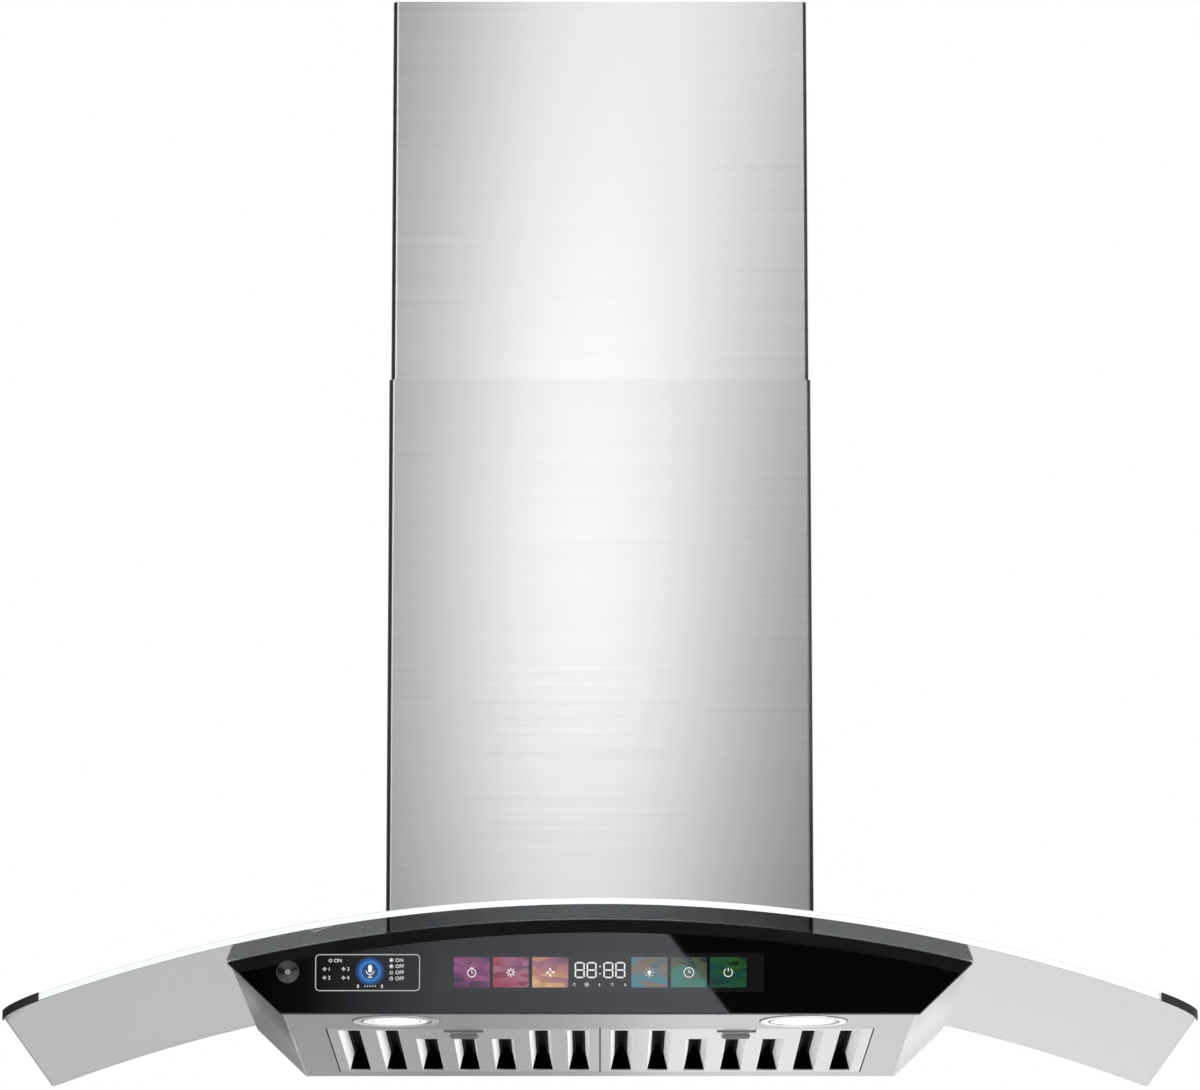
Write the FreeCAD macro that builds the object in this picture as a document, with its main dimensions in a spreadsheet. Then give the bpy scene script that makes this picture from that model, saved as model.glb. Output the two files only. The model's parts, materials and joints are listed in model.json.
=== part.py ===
"""Wall-mounted range hood: bent glass canopy, slim steel body, baffle filters and telescopic chimney.

Millimetres. X runs along the wall, -Y points away from the wall, +Z is up. The origin is midway
between the two hanging holes, on the wall. Inside each piece, heights are counted from the bottom
of the steel body, and the piece's Placement lowers them by hang_rise.
"""
import FreeCAD, Part
import math
import os
import types

import Sketcher

Vector = FreeCAD.Vector

DRIVING = {
    # Bent glass canopy: bend radius and crown height are those of its underside
    "glass_width": 900, "glass_depth": 470, "glass_thick": 5, "glass_radius": 1256,
    "crown_margin": 8.5, "glass_wall_gap": 15, "glass_corner": 28, "glass_rear_corner": 8,
    "notch_clear": 1.5, "guard_thick": 1.5, "guard_lap": 0.6, "guard_clear": 0.05,
    "gasket_thick": 1.5, "gasket_width": 30, "gasket_inset": 8, "gasket_clear": 0.1,
    # Steel body
    "sensor_margin": 3.9, "body_flare": 40.5, "body_depth": 404,
    "body_sheet": 1.2, "back_sheet": 2,
    "hang_rise": 300, "hang_spacing": 240, "hang_hole_radius": 4.5,
    "lower_hole_spacing": 400, "lower_hole_rise": 28, "lower_hole_radius": 3,
    # Black glass fascia and what sits behind it
    "fascia_thick": 4, "fascia_lap": 1.8, "fascia_top_gap": 0.8, "front_lip": 1,
    "display_width": 250, "display_height": 30, "display_rise": 31, "display_deep": 18,
    "display_border": 4, "window_clear": 0.3,
    "voice_width": 80, "voice_height": 28, "voice_gap": 12.6, "voice_rise": 31, "voice_deep": 12,
    "sensor_gap": 21, "sensor_rise": 31.3, "sensor_radius": 8.75, "sensor_proud": 0.8,
    "sensor_lens_radius": 2.2, "sensor_dish": 1.6, "sensor_stem": 12, "sensor_clear": 0.1,
    # Lamps in the front strip of the bottom panel
    "lamp_margin": 85.5, "lamp_depth": 359, "lamp_radius": 33.5, "lamp_proud": 0.8,
    "lamp_lens_radius": 24.3, "lamp_can_radius": 27.5, "lamp_can_height": 24, "lamp_collar": 6,
    "lamp_clear": 0.25, "lamp_dish_radius": 29,
    # Baffle filters
    "filter_margin": 29, "filter_length": 283, "filter_thick": 16, "filter_front": 313,
    "filter_gap": 1, "filter_sheet": 1, "slot_side_margin": 8.1, "slot_width": 17, "slot_knee_width": 10.2,
    "slot_throat": 5.7, "slot_rise": 14.5, "slot_front_margin": 13, "short_slot_margin": 66,
    "slot_rear_margin": 10, "baffle_width": 22, "baffle_low": 11.5, "baffle_top": 21,
    "lip_length": 8, "lip_rise": 1.5, "lip_thick": 1, "lip_inset": 15,
    # Sprung finger latch at the front of each filter
    "latch_width": 30, "latch_length": 59.5, "latch_thick": 1, "latch_reach": 4, "latch_clear": 0.3,
    "latch_travel": 6, "latch_notch": 26, "finger_width": 20.5, "finger_length": 12, "finger_drop": 3.5,
    "finger_back": 37,
    "guide_length": 8, "guide_back": 20,
    # Chimney covers
    "chimney_width": 336, "chimney_depth": 290, "chimney_sheet": 1, "chimney_clear": 0.4,
    "chimney_flange": 15, "chimney_fold": 4.5, "chimney_seat": 0.4, "joint_rise": 523, "upper_top_rise": 836,
    "upper_overlap": 87, "bracket_thick": 1.5, "bracket_height": 36, "bracket_drop": 40,
    "bracket_tab": 30, "bracket_clear": 0.2, "bracket_hole_spacing": 200, "bracket_hole_radius": 3,
    "cover_screw_radius": 2, "cover_screw_head": 3.8, "cover_screw_depth": 20, "screw_head_thick": 1.8,
    # Blower box and scroll
    "box_width": 300, "box_depth": 266, "box_bottom_rise": 52, "box_top_rise": 352, "box_sheet": 1,
    "box_clear": 0.5, "fan_depth": 128, "fan_rise": 190, "scroll_radius": 98, "scroll_step": 10,
    "scroll_half_width": 86, "scroll_wall": 1.2, "inlet_hole_radius": 72.5, "inlet_flange_radius": 82,
    "inlet_cone": 8, "inlet_throat_radius": 64, "inlet_sheet": 1.2,
    # Impeller and motor
    "wheel_radius": 85, "wheel_eye_radius": 68, "wheel_half_width": 72, "wheel_plate": 2,
    "blade_thick": 1.2, "blade_knee": 78, "hub_radius": 11, "hub_half_length": 12,
    "shaft_radius": 4, "shaft_clear": 0.05, "shaft_inner": 60, "shaft_outer": 14,
    "motor_radius": 42, "motor_front": 14, "motor_step": 10, "motor_nose_radius": 18,
    "bracket_ring_radius": 81, "bracket_ring_band": 7, "bracket_hub_radius": 30, "arm_width": 14,
    "arm_plate": 2, "small_screw_radius": 2, "small_screw_head": 4, "small_screw_length": 3.2,
    "screw_clear": 0.2,
    # Electrical pieces on top of the blower box
    "capacitor_radius": 17, "capacitor_length": 62, "capacitor_offset": 112, "capacitor_depth": 105,
    "control_width": 54, "control_length": 130, "control_height": 36, "control_wall": 1.5,
    "control_offset": 119, "control_depth": 140,
    "gland_radius": 8, "gland_bore": 4.5, "gland_hex": 11, "gland_hex_height": 8, "gland_nut": 12,
    "gland_offset": 115, "gland_depth": 220, "gland_clear": 0.2,
    # Outlet collar and damper
    "collar_radius": 75, "collar_wall": 1, "collar_height": 50, "collar_flange": 88,
    "collar_plate": 1.2, "collar_hole_clear": 2, "collar_screw_circle": 82,
    "spindle_radius": 2, "spindle_rise": 20, "flap_gap": 1.5, "flap_thick": 1, "flap_root": 3.8,
    "knuckle_radius": 3.4, "knuckle_bore_clear": 0.06, "knuckle_length": 24, "knuckle_space": 30,
    # Clamps that hold the glass down beside the blower box
    "clamp_width": 24, "clamp_foot": 13, "clamp_leg": 30, "clamp_thick": 1.5, "clamp_seat": 0.3,
    "clamp_front_depth": 225, "clamp_rear_depth": 60,
}

# Counts and angles, which are not lengths
SLOT_COUNT = 7
SHORT_SLOTS = (2, 3, 4)
BLADE_COUNT = 36
BLADE_KNEE_ANGLE = 2
BLADE_TIP_ANGLE = 8
ARM_ANGLES = (90, 210, 330)
COLLAR_SCREW_ANGLES = (45, 135, 225, 315)
# Places of the flap knuckles along the spindle, in steps of knuckle_space: rear flap, front flap
KNUCKLE_STEPS = {1: (-1.5, 0.5), -1: (-0.5, 1.5)}
# How far cutting tools run past the material, in millimetres
MARGIN = 5

doc = FreeCAD.newDocument("range_hood")
sheet = doc.addObject("Spreadsheet::Sheet", "Sizes")
pieces = []


class Size:
    """A length that carries its number and the sheet formula that gives it."""

    def __init__(self, value, text):
        self.value = value
        self.text = text

    def __add__(self, other):
        other = as_size(other)
        return Size(self.value + other.value, f"({self.text} + {other.text})")

    def __sub__(self, other):
        other = as_size(other)
        return Size(self.value - other.value, f"({self.text} - {other.text})")

    def __mul__(self, other):
        other = as_size(other)
        return Size(self.value * other.value, f"({self.text} * {other.text})")

    def __truediv__(self, other):
        other = as_size(other)
        return Size(self.value / other.value, f"({self.text} / {other.text})")

    def __radd__(self, other):
        return as_size(other) + self

    def __rsub__(self, other):
        return as_size(other) - self

    def __rmul__(self, other):
        return as_size(other) * self

    def __neg__(self):
        return Size(-self.value, f"(-{self.text})")


def as_size(item):
    """Turn a plain number into a Size; a Size stays as it is."""
    if isinstance(item, Size):
        return item
    return Size(float(item), f"({float(item)})")


def root(size):
    """Square root of a Size."""
    return Size(math.sqrt(size.value), f"sqrt({size.text})")


def fill_sheet():
    """Write the driving dimensions into the spreadsheet and return them as Sizes."""
    for row, (name, value) in enumerate(DRIVING.items(), start=1):
        sheet.set(f"A{row}", name)
        sheet.set(f"B{row}", str(value))
        sheet.setAlias(f"B{row}", name)
    doc.recompute()
    return types.SimpleNamespace(
        **{name: Size(float(value), f"Sizes.{name}") for name, value in DRIVING.items()})


dim = fill_sheet()


# The row of fittings on the front sets the body's width and the height of the arch over it
voice_offset = dim.display_width / 2 + dim.voice_gap + dim.voice_width / 2
voice_end = voice_offset + dim.voice_width / 2
sensor_offset = voice_end + dim.sensor_gap
bottom_half = sensor_offset + dim.sensor_margin
top_half = bottom_half + dim.body_flare
glass_end_rise = dim.voice_rise + dim.voice_height / 2 + dim.crown_margin


def arch(x, drop):
    """Height, at x, of the cylinder that lies drop below the underside of the bent glass."""
    radius = dim.glass_radius - drop
    end_height = root(dim.glass_radius * dim.glass_radius - voice_end * voice_end)
    return glass_end_rise - end_height + root(radius * radius - x * x)


# Sizes that several pieces share
top_corner_rise = arch(top_half, dim.gasket_thick)
side_slope = (top_half - bottom_half) / top_corner_rise
side_wall = dim.body_sheet * root(side_slope * side_slope + 1)
glass_front = dim.glass_wall_gap + dim.glass_depth
panel_back = dim.body_depth - dim.body_sheet
box_half = dim.box_width / 2
box_front = dim.back_sheet + dim.box_depth
filter_rear = dim.filter_front - dim.filter_length
filter_width = bottom_half - dim.filter_margin - dim.filter_gap * 1.5
filter_centre = dim.filter_gap / 2 + filter_width / 2
slot_pitch = (filter_width - dim.slot_side_margin * 2 - dim.slot_width) / (SLOT_COUNT - 1)
lamp_offset = bottom_half - dim.lamp_margin
chimney_half = dim.chimney_width / 2
upper_inset = dim.chimney_sheet + dim.chimney_clear
upper_half = chimney_half - upper_inset
scroll_front = dim.scroll_step / 2 + dim.scroll_radius + dim.scroll_step * 2
outlet_depth = dim.fan_depth + (scroll_front - dim.scroll_step / 2) / 2
bracket_face = dim.scroll_half_width + dim.inlet_sheet
spindle_level = dim.box_top_rise + dim.spindle_rise


def bind(item, path, size):
    """Tie one property of a document object to a formula of the sheet."""
    item.setExpression(path, as_size(size).text)


def place(item, at=(0, 0, 0), turn=None, sunk=False):
    """Put an object at a point; a finished piece is also lowered by hang_rise."""
    x, y, z = at
    if turn:
        axis, angle = turn
        item.Placement = FreeCAD.Placement(Vector(), FreeCAD.Rotation(Vector(*axis), angle))
    bind(item, ".Placement.Base.x", x)
    bind(item, ".Placement.Base.y", y)
    bind(item, ".Placement.Base.z", z - dim.hang_rise if sunk else z)


def finish(item, label, at=(0, 0, 0)):
    """Name a piece, place it in the hood's frame and list it for writing."""
    item.Label = label
    place(item, at, sunk=True)
    pieces.append(item)
    return item


def new_body(label, at=(0, 0, 0)):
    """Start a piece that is made of sketches and features."""
    return finish(doc.addObject("PartDesign::Body", label), label, at)


def sketch_on(body, plane, offset=0):
    """Attach a sketch to one of the body's own planes, moved along the plane's normal."""
    sketch = body.newObject("Sketcher::SketchObject", f"{body.Name}_sketch")
    support = [item for item in body.Origin.OriginFeatures if item.Role == plane][0]
    sketch.AttachmentSupport = [(support, "")]
    sketch.MapMode = "FlatFace"
    bind(sketch, "AttachmentOffset.Base.z", offset)
    return sketch


def fix(sketch, kind, places, size):
    """Add a dimension to a sketch and tie it to its formula."""
    number = sketch.addConstraint(Sketcher.Constraint(kind, *places, size.value))
    sketch.setExpression(f"Constraints[{number}]", size.text)


def arc_between(start, end, radius, turn):
    """Arc from start to end: turn is +1 anticlockwise, -1 clockwise."""
    chord = end - start
    rise = math.sqrt(max(0.0, radius ** 2 - (chord.Length / 2) ** 2))
    across = Vector(-chord.y, chord.x, 0).normalize()
    centre = (start + end) / 2 + across * (rise * turn)
    first, last = (start, end) if turn > 0 else (end, start)
    angles = [math.atan2((p - centre).y, (p - centre).x) for p in (first, last)]
    if angles[1] < angles[0]:
        angles[1] += 2 * math.pi
    return Part.ArcOfCircle(Part.Circle(centre, Vector(0, 0, 1), radius), *angles)


def outline(sketch, corners, bends=None):
    """Draw a closed outline; bends gives (radius, turn) for the edges that are arcs."""
    bends = bends or {}
    corners = [(as_size(x), as_size(y)) for x, y in corners]
    points = [Vector(x.value, y.value, 0) for x, y in corners]
    count = len(points)
    base = sketch.GeometryCount
    ends = []
    for edge in range(count):
        start, end = points[edge], points[(edge + 1) % count]
        if edge in bends:
            radius, turn = bends[edge]
            sketch.addGeometry(arc_between(start, end, radius.value, turn), False)
            ends.append((1, 2) if turn > 0 else (2, 1))
        else:
            sketch.addGeometry(Part.LineSegment(start, end), False)
            ends.append((1, 2))
    for edge in range(count):
        after = (edge + 1) % count
        sketch.addConstraint(Sketcher.Constraint(
            "Coincident", base + edge, ends[edge][1], base + after, ends[after][0]))
    for edge, (x, y) in enumerate(corners):
        fix(sketch, "DistanceX", (-1, 1, base + edge, ends[edge][0]), x)
        fix(sketch, "DistanceY", (-1, 1, base + edge, ends[edge][0]), y)
        if edge in bends:
            fix(sketch, "Radius", (base + edge,), bends[edge][0])
    return sketch


def rectangle(sketch, low_x, low_y, high_x, high_y):
    """Draw a rectangle between two corners."""
    return outline(sketch, [(low_x, low_y), (high_x, low_y), (high_x, high_y), (low_x, high_y)])


def circle(sketch, x, y, radius):
    """Draw a circle."""
    x, y = as_size(x), as_size(y)
    number = sketch.addGeometry(
        Part.Circle(Vector(x.value, y.value, 0), Vector(0, 0, 1), radius.value), False)
    fix(sketch, "DistanceX", (-1, 1, number, 3), x)
    fix(sketch, "DistanceY", (-1, 1, number, 3), y)
    fix(sketch, "Radius", (number,), radius)
    return sketch


def pad(body, sketch, length, symmetric=False):
    """Grow a sketch along its normal, or evenly to both sides."""
    feature = body.newObject("PartDesign::Pad", f"{body.Name}_pad")
    feature.Profile = sketch
    feature.SideType = "Symmetric" if symmetric else "One side"
    bind(feature, "Length", length)
    return feature


def pocket(body, sketch, length=None, symmetric=False):
    """Cut a sketch along its normal, evenly to both sides, or right through where no length is given."""
    feature = body.newObject("PartDesign::Pocket", f"{body.Name}_pocket")
    feature.Profile = sketch
    if length is None:
        feature.Type = "ThroughAll"
        feature.SideType = "Symmetric"
        return feature
    feature.SideType = "Symmetric" if symmetric else "One side"
    feature.Reversed = not symmetric
    bind(feature, "Length", length)
    return feature


def corner_waste(sketch, x, y, radius, inward):
    """Draw what is cut away to round one corner of a plan; inward is the way to its middle, as signs."""
    side, rear = inward
    outer_x, outer_y = x - side * MARGIN, y - rear * MARGIN
    return outline(
        sketch,
        [(outer_x, outer_y), (outer_x, y + radius * rear), (x, y + radius * rear),
         (x + radius * side, y), (x + radius * side, outer_y)],
        {2: (radius, side * rear)})


def block(low, high):
    """Box between two corners."""
    item = doc.addObject("Part::Box", "block")
    for name, start, end in zip(("Length", "Width", "Height"), low, high):
        bind(item, name, as_size(end) - start)
    place(item, low)
    return item


TURNS = {"x": ((0, 1, 0), 90), "y": ((1, 0, 0), 90), "z": None}


def rod(radius, length, at, along="z"):
    """Cylinder that runs from a point along +X, -Y or +Z."""
    item = doc.addObject("Part::Cylinder", "rod")
    bind(item, "Radius", radius)
    bind(item, "Height", length)
    place(item, at, TURNS[along])
    return item


def hexagon(radius, height, at, along="z"):
    """Six-sided prism that runs from a point along +X, -Y or +Z."""
    item = doc.addObject("Part::Prism", "hexagon")
    item.Polygon = 6
    bind(item, "Circumradius", radius)
    bind(item, "Height", height)
    place(item, at, TURNS[along])
    return item


def cut(base, *tools):
    """Take tools away from a base, one after another."""
    for tool in tools:
        feature = doc.addObject("Part::Cut", "cut")
        feature.Base = base
        feature.Tool = tool
        base = feature
    return base


def common(base, tool):
    """What two shapes share."""
    feature = doc.addObject("Part::Common", "common")
    feature.Base = base
    feature.Tool = tool
    return feature


def fuse(*items):
    """Join shapes into one solid."""
    feature = doc.addObject("Part::MultiFuse", "fuse")
    feature.Shapes = list(items)
    feature.Refine = True
    return feature


def group(*items):
    """Keep several separate solids in one piece."""
    feature = doc.addObject("Part::Compound", "group")
    feature.Links = list(items)
    return feature


def on_circle(radius, angle):
    """Point at an angle, in degrees, on a circle about the origin."""
    return radius * math.cos(math.radians(angle)), radius * math.sin(math.radians(angle))


def body_section(sketch, half_bottom, half_top, low, drop):
    """Front outline of the steel body: straight bottom, slanted sides, top that follows the glass."""
    top = arch(half_top, drop)
    return outline(
        sketch,
        [(-half_bottom, low), (half_bottom, low), (half_top, top), (-half_top, top)],
        {2: (dim.glass_radius - drop, 1)})


def arch_band(sketch, half, drop, rise):
    """Front outline of a sheet that follows the glass, from drop below to rise above its underside."""
    low = arch(half, drop)
    high = arch(half, -rise)
    return outline(
        sketch,
        [(-half, low), (half, low), (half, high), (-half, high)],
        {0: (dim.glass_radius - drop, -1), 2: (dim.glass_radius + rise, 1)})


# Steel body
def make_back_panel():
    body = new_body("back_panel")
    section = sketch_on(body, "XZ_Plane")
    pad(body, body_section(section, bottom_half, top_half, 0, dim.gasket_thick), dim.back_sheet)
    upper = sketch_on(body, "XZ_Plane")
    pad(body, rectangle(upper, -box_half, MARGIN, box_half, dim.box_top_rise), dim.back_sheet)
    holes = sketch_on(body, "XZ_Plane")
    for side in (-1, 1):
        circle(holes, dim.hang_spacing * side / 2, dim.hang_rise, dim.hang_hole_radius)
        circle(holes, dim.lower_hole_spacing * side / 2, dim.lower_hole_rise, dim.lower_hole_radius)
    pocket(body, holes)


def make_canopy_shell():
    body = new_body("canopy_shell")
    outer = sketch_on(body, "XZ_Plane", dim.back_sheet)
    body_section(outer, bottom_half, top_half, 0, dim.gasket_thick)
    pad(body, outer, panel_back - dim.back_sheet)
    inner = sketch_on(body, "XZ_Plane")
    below = as_size(MARGIN)
    body_section(inner, bottom_half - side_wall - side_slope * below,
                 top_half - side_wall - side_slope * dim.body_sheet,
                 -below, dim.gasket_thick + dim.body_sheet)
    pocket(body, inner)
    hatch = sketch_on(body, "XY_Plane")
    reach = box_half + dim.box_clear
    pocket(body, rectangle(hatch, -reach, -(box_front + dim.box_clear), reach, 0))


def make_bottom_panel():
    body = new_body("bottom_panel")
    half = bottom_half - side_wall
    plate = sketch_on(body, "XY_Plane")
    pad(body, rectangle(plate, -half, -panel_back, half, -dim.back_sheet), dim.body_sheet)
    openings = sketch_on(body, "XY_Plane")
    reach = filter_centre + filter_width / 2 + dim.filter_gap
    rectangle(openings, -reach, -(dim.filter_front + dim.filter_gap), reach, -(filter_rear - dim.filter_gap))
    for side in (-1, 1):
        circle(openings, lamp_offset * side, -dim.lamp_depth, dim.lamp_can_radius + dim.lamp_clear)
    pocket(body, openings)


def make_front_panel():
    body = new_body("front_panel")
    lap = dim.fascia_lap + dim.front_lip
    plate = sketch_on(body, "XZ_Plane", panel_back)
    body_section(plate, bottom_half + lap - dim.front_lip * side_slope, top_half + lap,
                 -dim.front_lip, dim.fascia_top_gap)
    pad(body, plate, dim.body_sheet)
    windows = sketch_on(body, "XZ_Plane")
    low = dim.display_rise - dim.display_height / 2
    rectangle(windows, -dim.display_width / 2, low, dim.display_width / 2, low + dim.display_height)
    left = -voice_offset - dim.voice_width / 2
    floor = dim.voice_rise - dim.voice_height / 2
    rectangle(windows, left, floor, left + dim.voice_width, floor + dim.voice_height)
    circle(windows, -sensor_offset, dim.sensor_rise, dim.sensor_radius + dim.sensor_clear)
    pocket(body, windows)


def make_fascia_glass():
    body = new_body("fascia_glass")
    plate = sketch_on(body, "XZ_Plane", dim.body_depth)
    body_section(plate, bottom_half + dim.fascia_lap, top_half + dim.fascia_lap, 0, dim.fascia_top_gap)
    pad(body, plate, dim.fascia_thick)
    hole = sketch_on(body, "XZ_Plane")
    pocket(body, circle(hole, -sensor_offset, dim.sensor_rise, dim.sensor_radius + dim.sensor_clear))


def make_window_module(label, centre, rise, width, height, deep):
    """Board housing behind the front panel, with a raised screen that fills a window of the panel."""
    half = width / 2
    border = dim.display_border
    low = rise - height / 2
    housing = block((centre - half - border, -panel_back, low - border),
                    (centre + half + border, deep - panel_back, low + height + border))
    screen = block((centre - half + dim.window_clear, -dim.body_depth, low + dim.window_clear),
                   (centre + half - dim.window_clear, -panel_back, low + height - dim.window_clear))
    finish(fuse(housing, screen), label)


def make_sensor():
    at = (-sensor_offset, -(dim.body_depth - dim.sensor_stem), dim.sensor_rise)
    length = dim.sensor_stem + dim.fascia_thick + dim.sensor_proud
    dish = doc.addObject("Part::Cone", "dish")
    bind(dish, "Radius1", dim.sensor_lens_radius + dim.sensor_clear)
    bind(dish, "Radius2", dim.sensor_radius - dim.sensor_proud)
    bind(dish, "Height", dim.sensor_dish)
    face = dim.body_depth + dim.fascia_thick + dim.sensor_proud
    place(dish, (at[0], dim.sensor_dish - face, at[2]), TURNS["y"])
    bore = rod(dim.sensor_lens_radius + dim.sensor_clear, length, at, "y")
    finish(cut(rod(dim.sensor_radius, length, at, "y"), dish, bore), "sensor_bezel")
    lens = rod(dim.sensor_lens_radius, length - dim.sensor_dish / 2, at, "y")
    finish(lens, "sensor_lens", at)


# Bent glass canopy
def make_glass():
    body = new_body("glass_canopy")
    band = sketch_on(body, "XZ_Plane", dim.glass_wall_gap)
    pad(body, arch_band(band, dim.glass_width / 2, as_size(0), dim.glass_thick), dim.glass_depth)
    notch = sketch_on(body, "XY_Plane")
    reach = box_half + dim.notch_clear
    pocket(body, rectangle(notch, -reach, -(box_front + dim.notch_clear), reach, 0))
    corners = sketch_on(body, "XY_Plane")
    for side in (-1, 1):
        tip = dim.glass_width * side / 2
        corner_waste(corners, tip, -glass_front, dim.glass_corner, (-side, 1))
        corner_waste(corners, tip, -dim.glass_wall_gap, dim.glass_rear_corner, (-side, -1))
    pocket(body, corners)


def make_gasket():
    body = new_body("glass_gasket")
    half = top_half - dim.gasket_inset
    rear = dim.glass_wall_gap + dim.gasket_inset
    front = dim.body_depth - dim.gasket_inset
    band = sketch_on(body, "XZ_Plane", rear)
    arch_band(band, half, dim.gasket_thick - dim.gasket_clear, -dim.gasket_clear)
    pad(body, band, front - rear)
    hollow = sketch_on(body, "XY_Plane")
    inner = half - dim.gasket_width
    pocket(body, rectangle(hollow, -inner, dim.gasket_width - front, inner, 0))


def make_corner_guard(label, side):
    """Soft strip round one front corner of the glass, a little taller than the glass."""
    band = doc.addObject("PartDesign::Body", f"{label}_band")
    profile = sketch_on(band, "XZ_Plane", dim.glass_wall_gap)
    reach = dim.glass_width / 2 + dim.guard_thick * 2
    arch_band(profile, reach, dim.guard_lap, dim.glass_thick + dim.guard_lap)
    pad(band, profile, dim.glass_depth + dim.guard_thick * 2)
    middle = (dim.glass_width / 2 - dim.glass_corner) * side
    centre = (middle, dim.glass_corner - glass_front, -glass_end_rise * 3)
    rings = []
    for radius in (dim.glass_corner + dim.guard_thick, dim.glass_corner + dim.guard_clear):
        ring = doc.addObject("Part::Cylinder", "ring")
        bind(ring, "Radius", radius)
        bind(ring, "Height", glass_end_rise * 6)
        ring.Angle = 90
        place(ring, centre, ((0, 0, 1), 180 if side < 0 else 270))
        rings.append(ring)
    finish(common(band, cut(*rings)), label)


def make_glass_clamps():
    clamps = []
    foot_low = arch(box_half + dim.notch_clear, -dim.glass_thick) + dim.clamp_seat
    foot_high = foot_low + dim.clamp_thick
    for side in (-1, 1):
        for depth in (dim.clamp_front_depth, dim.clamp_rear_depth):
            inner = box_half
            outer = box_half + dim.clamp_foot
            leg = box_half + dim.clamp_thick
            if side < 0:
                inner, outer, leg = -outer, -inner, -leg
            leg_low, leg_high = (leg, outer) if side < 0 else (inner, leg)
            rear = dim.clamp_width - depth
            foot = block((inner, -depth, foot_low), (outer, rear, foot_high))
            wall = block((leg_low, -depth, foot_low), (leg_high, rear, foot_low + dim.clamp_leg))
            clamps.append(fuse(foot, wall))
    finish(group(*clamps), "glass_clamps")


# Lamps
def make_lamp(name, side):
    x = lamp_offset * side
    y = -dim.lamp_depth
    bore = dim.lamp_lens_radius + dim.lamp_clear
    flange = rod(dim.lamp_radius, dim.lamp_proud, (x, y, -dim.lamp_proud))
    collar = rod(dim.lamp_can_radius, dim.lamp_collar, (x, y, 0))
    hole = rod(bore, dim.lamp_collar + dim.lamp_proud * 3, (x, y, -dim.lamp_proud * 2))
    dish = doc.addObject("Part::Cone", "dish")
    bind(dish, "Radius1", dim.lamp_dish_radius)
    bind(dish, "Radius2", bore)
    bind(dish, "Height", dim.lamp_proud)
    place(dish, (x, y, -dim.lamp_proud))
    finish(cut(fuse(flange, collar), hole, dish), f"lamp_trim_{name}")
    lens = rod(dim.lamp_lens_radius, dim.lamp_collar + dim.lamp_proud / 2, (0, 0, 0))
    finish(lens, f"lamp_lens_{name}", (x, y, -dim.lamp_proud / 2))
    can = rod(dim.lamp_can_radius, dim.lamp_can_height - dim.lamp_collar, (0, 0, 0))
    finish(can, f"lamp_can_{name}", (x, y, dim.lamp_collar))


# Baffle filters
def slot_span(number):
    """Left edge, front margin and left edge plus width of one slot, from the filter's middle."""
    left = slot_pitch * (number - (SLOT_COUNT - 1) / 2) - dim.slot_width / 2
    margin = dim.short_slot_margin if number in SHORT_SLOTS else dim.slot_front_margin
    return left, margin, left + dim.slot_width


def draw_slots(sketch):
    """Draw every slot of a filter in plan."""
    for number in range(SLOT_COUNT):
        left, margin, right = slot_span(number)
        rectangle(sketch, left, margin - dim.filter_front, right, -filter_rear - dim.slot_rear_margin)


def slot_wall(sketch, edge, inward):
    """Section of the wall along one edge of a slot: it leans over the slot and ends in a turned-in lip."""
    sheet_thick = dim.filter_sheet
    knee = edge + (dim.slot_width - dim.slot_knee_width) / 2 * inward
    tip = edge + (dim.slot_width - dim.slot_throat) / 2 * inward
    top = dim.slot_rise + sheet_thick
    outline(sketch, [(edge - sheet_thick * inward, 0), (edge, 0), (knee, dim.slot_rise),
                     (tip, dim.slot_rise), (tip, top), (knee - sheet_thick * inward, top)])


def add_slot_walls(body, numbers):
    """Run the walls of some slots, all of one length, from the rear end of the slots to the front."""
    rear = filter_rear + dim.slot_rear_margin
    section = sketch_on(body, "XZ_Plane", rear)
    for number in numbers:
        left, margin, right = slot_span(number)
        slot_wall(section, left, 1)
        slot_wall(section, right, -1)
    pad(body, section, dim.filter_front - margin - rear)


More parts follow.
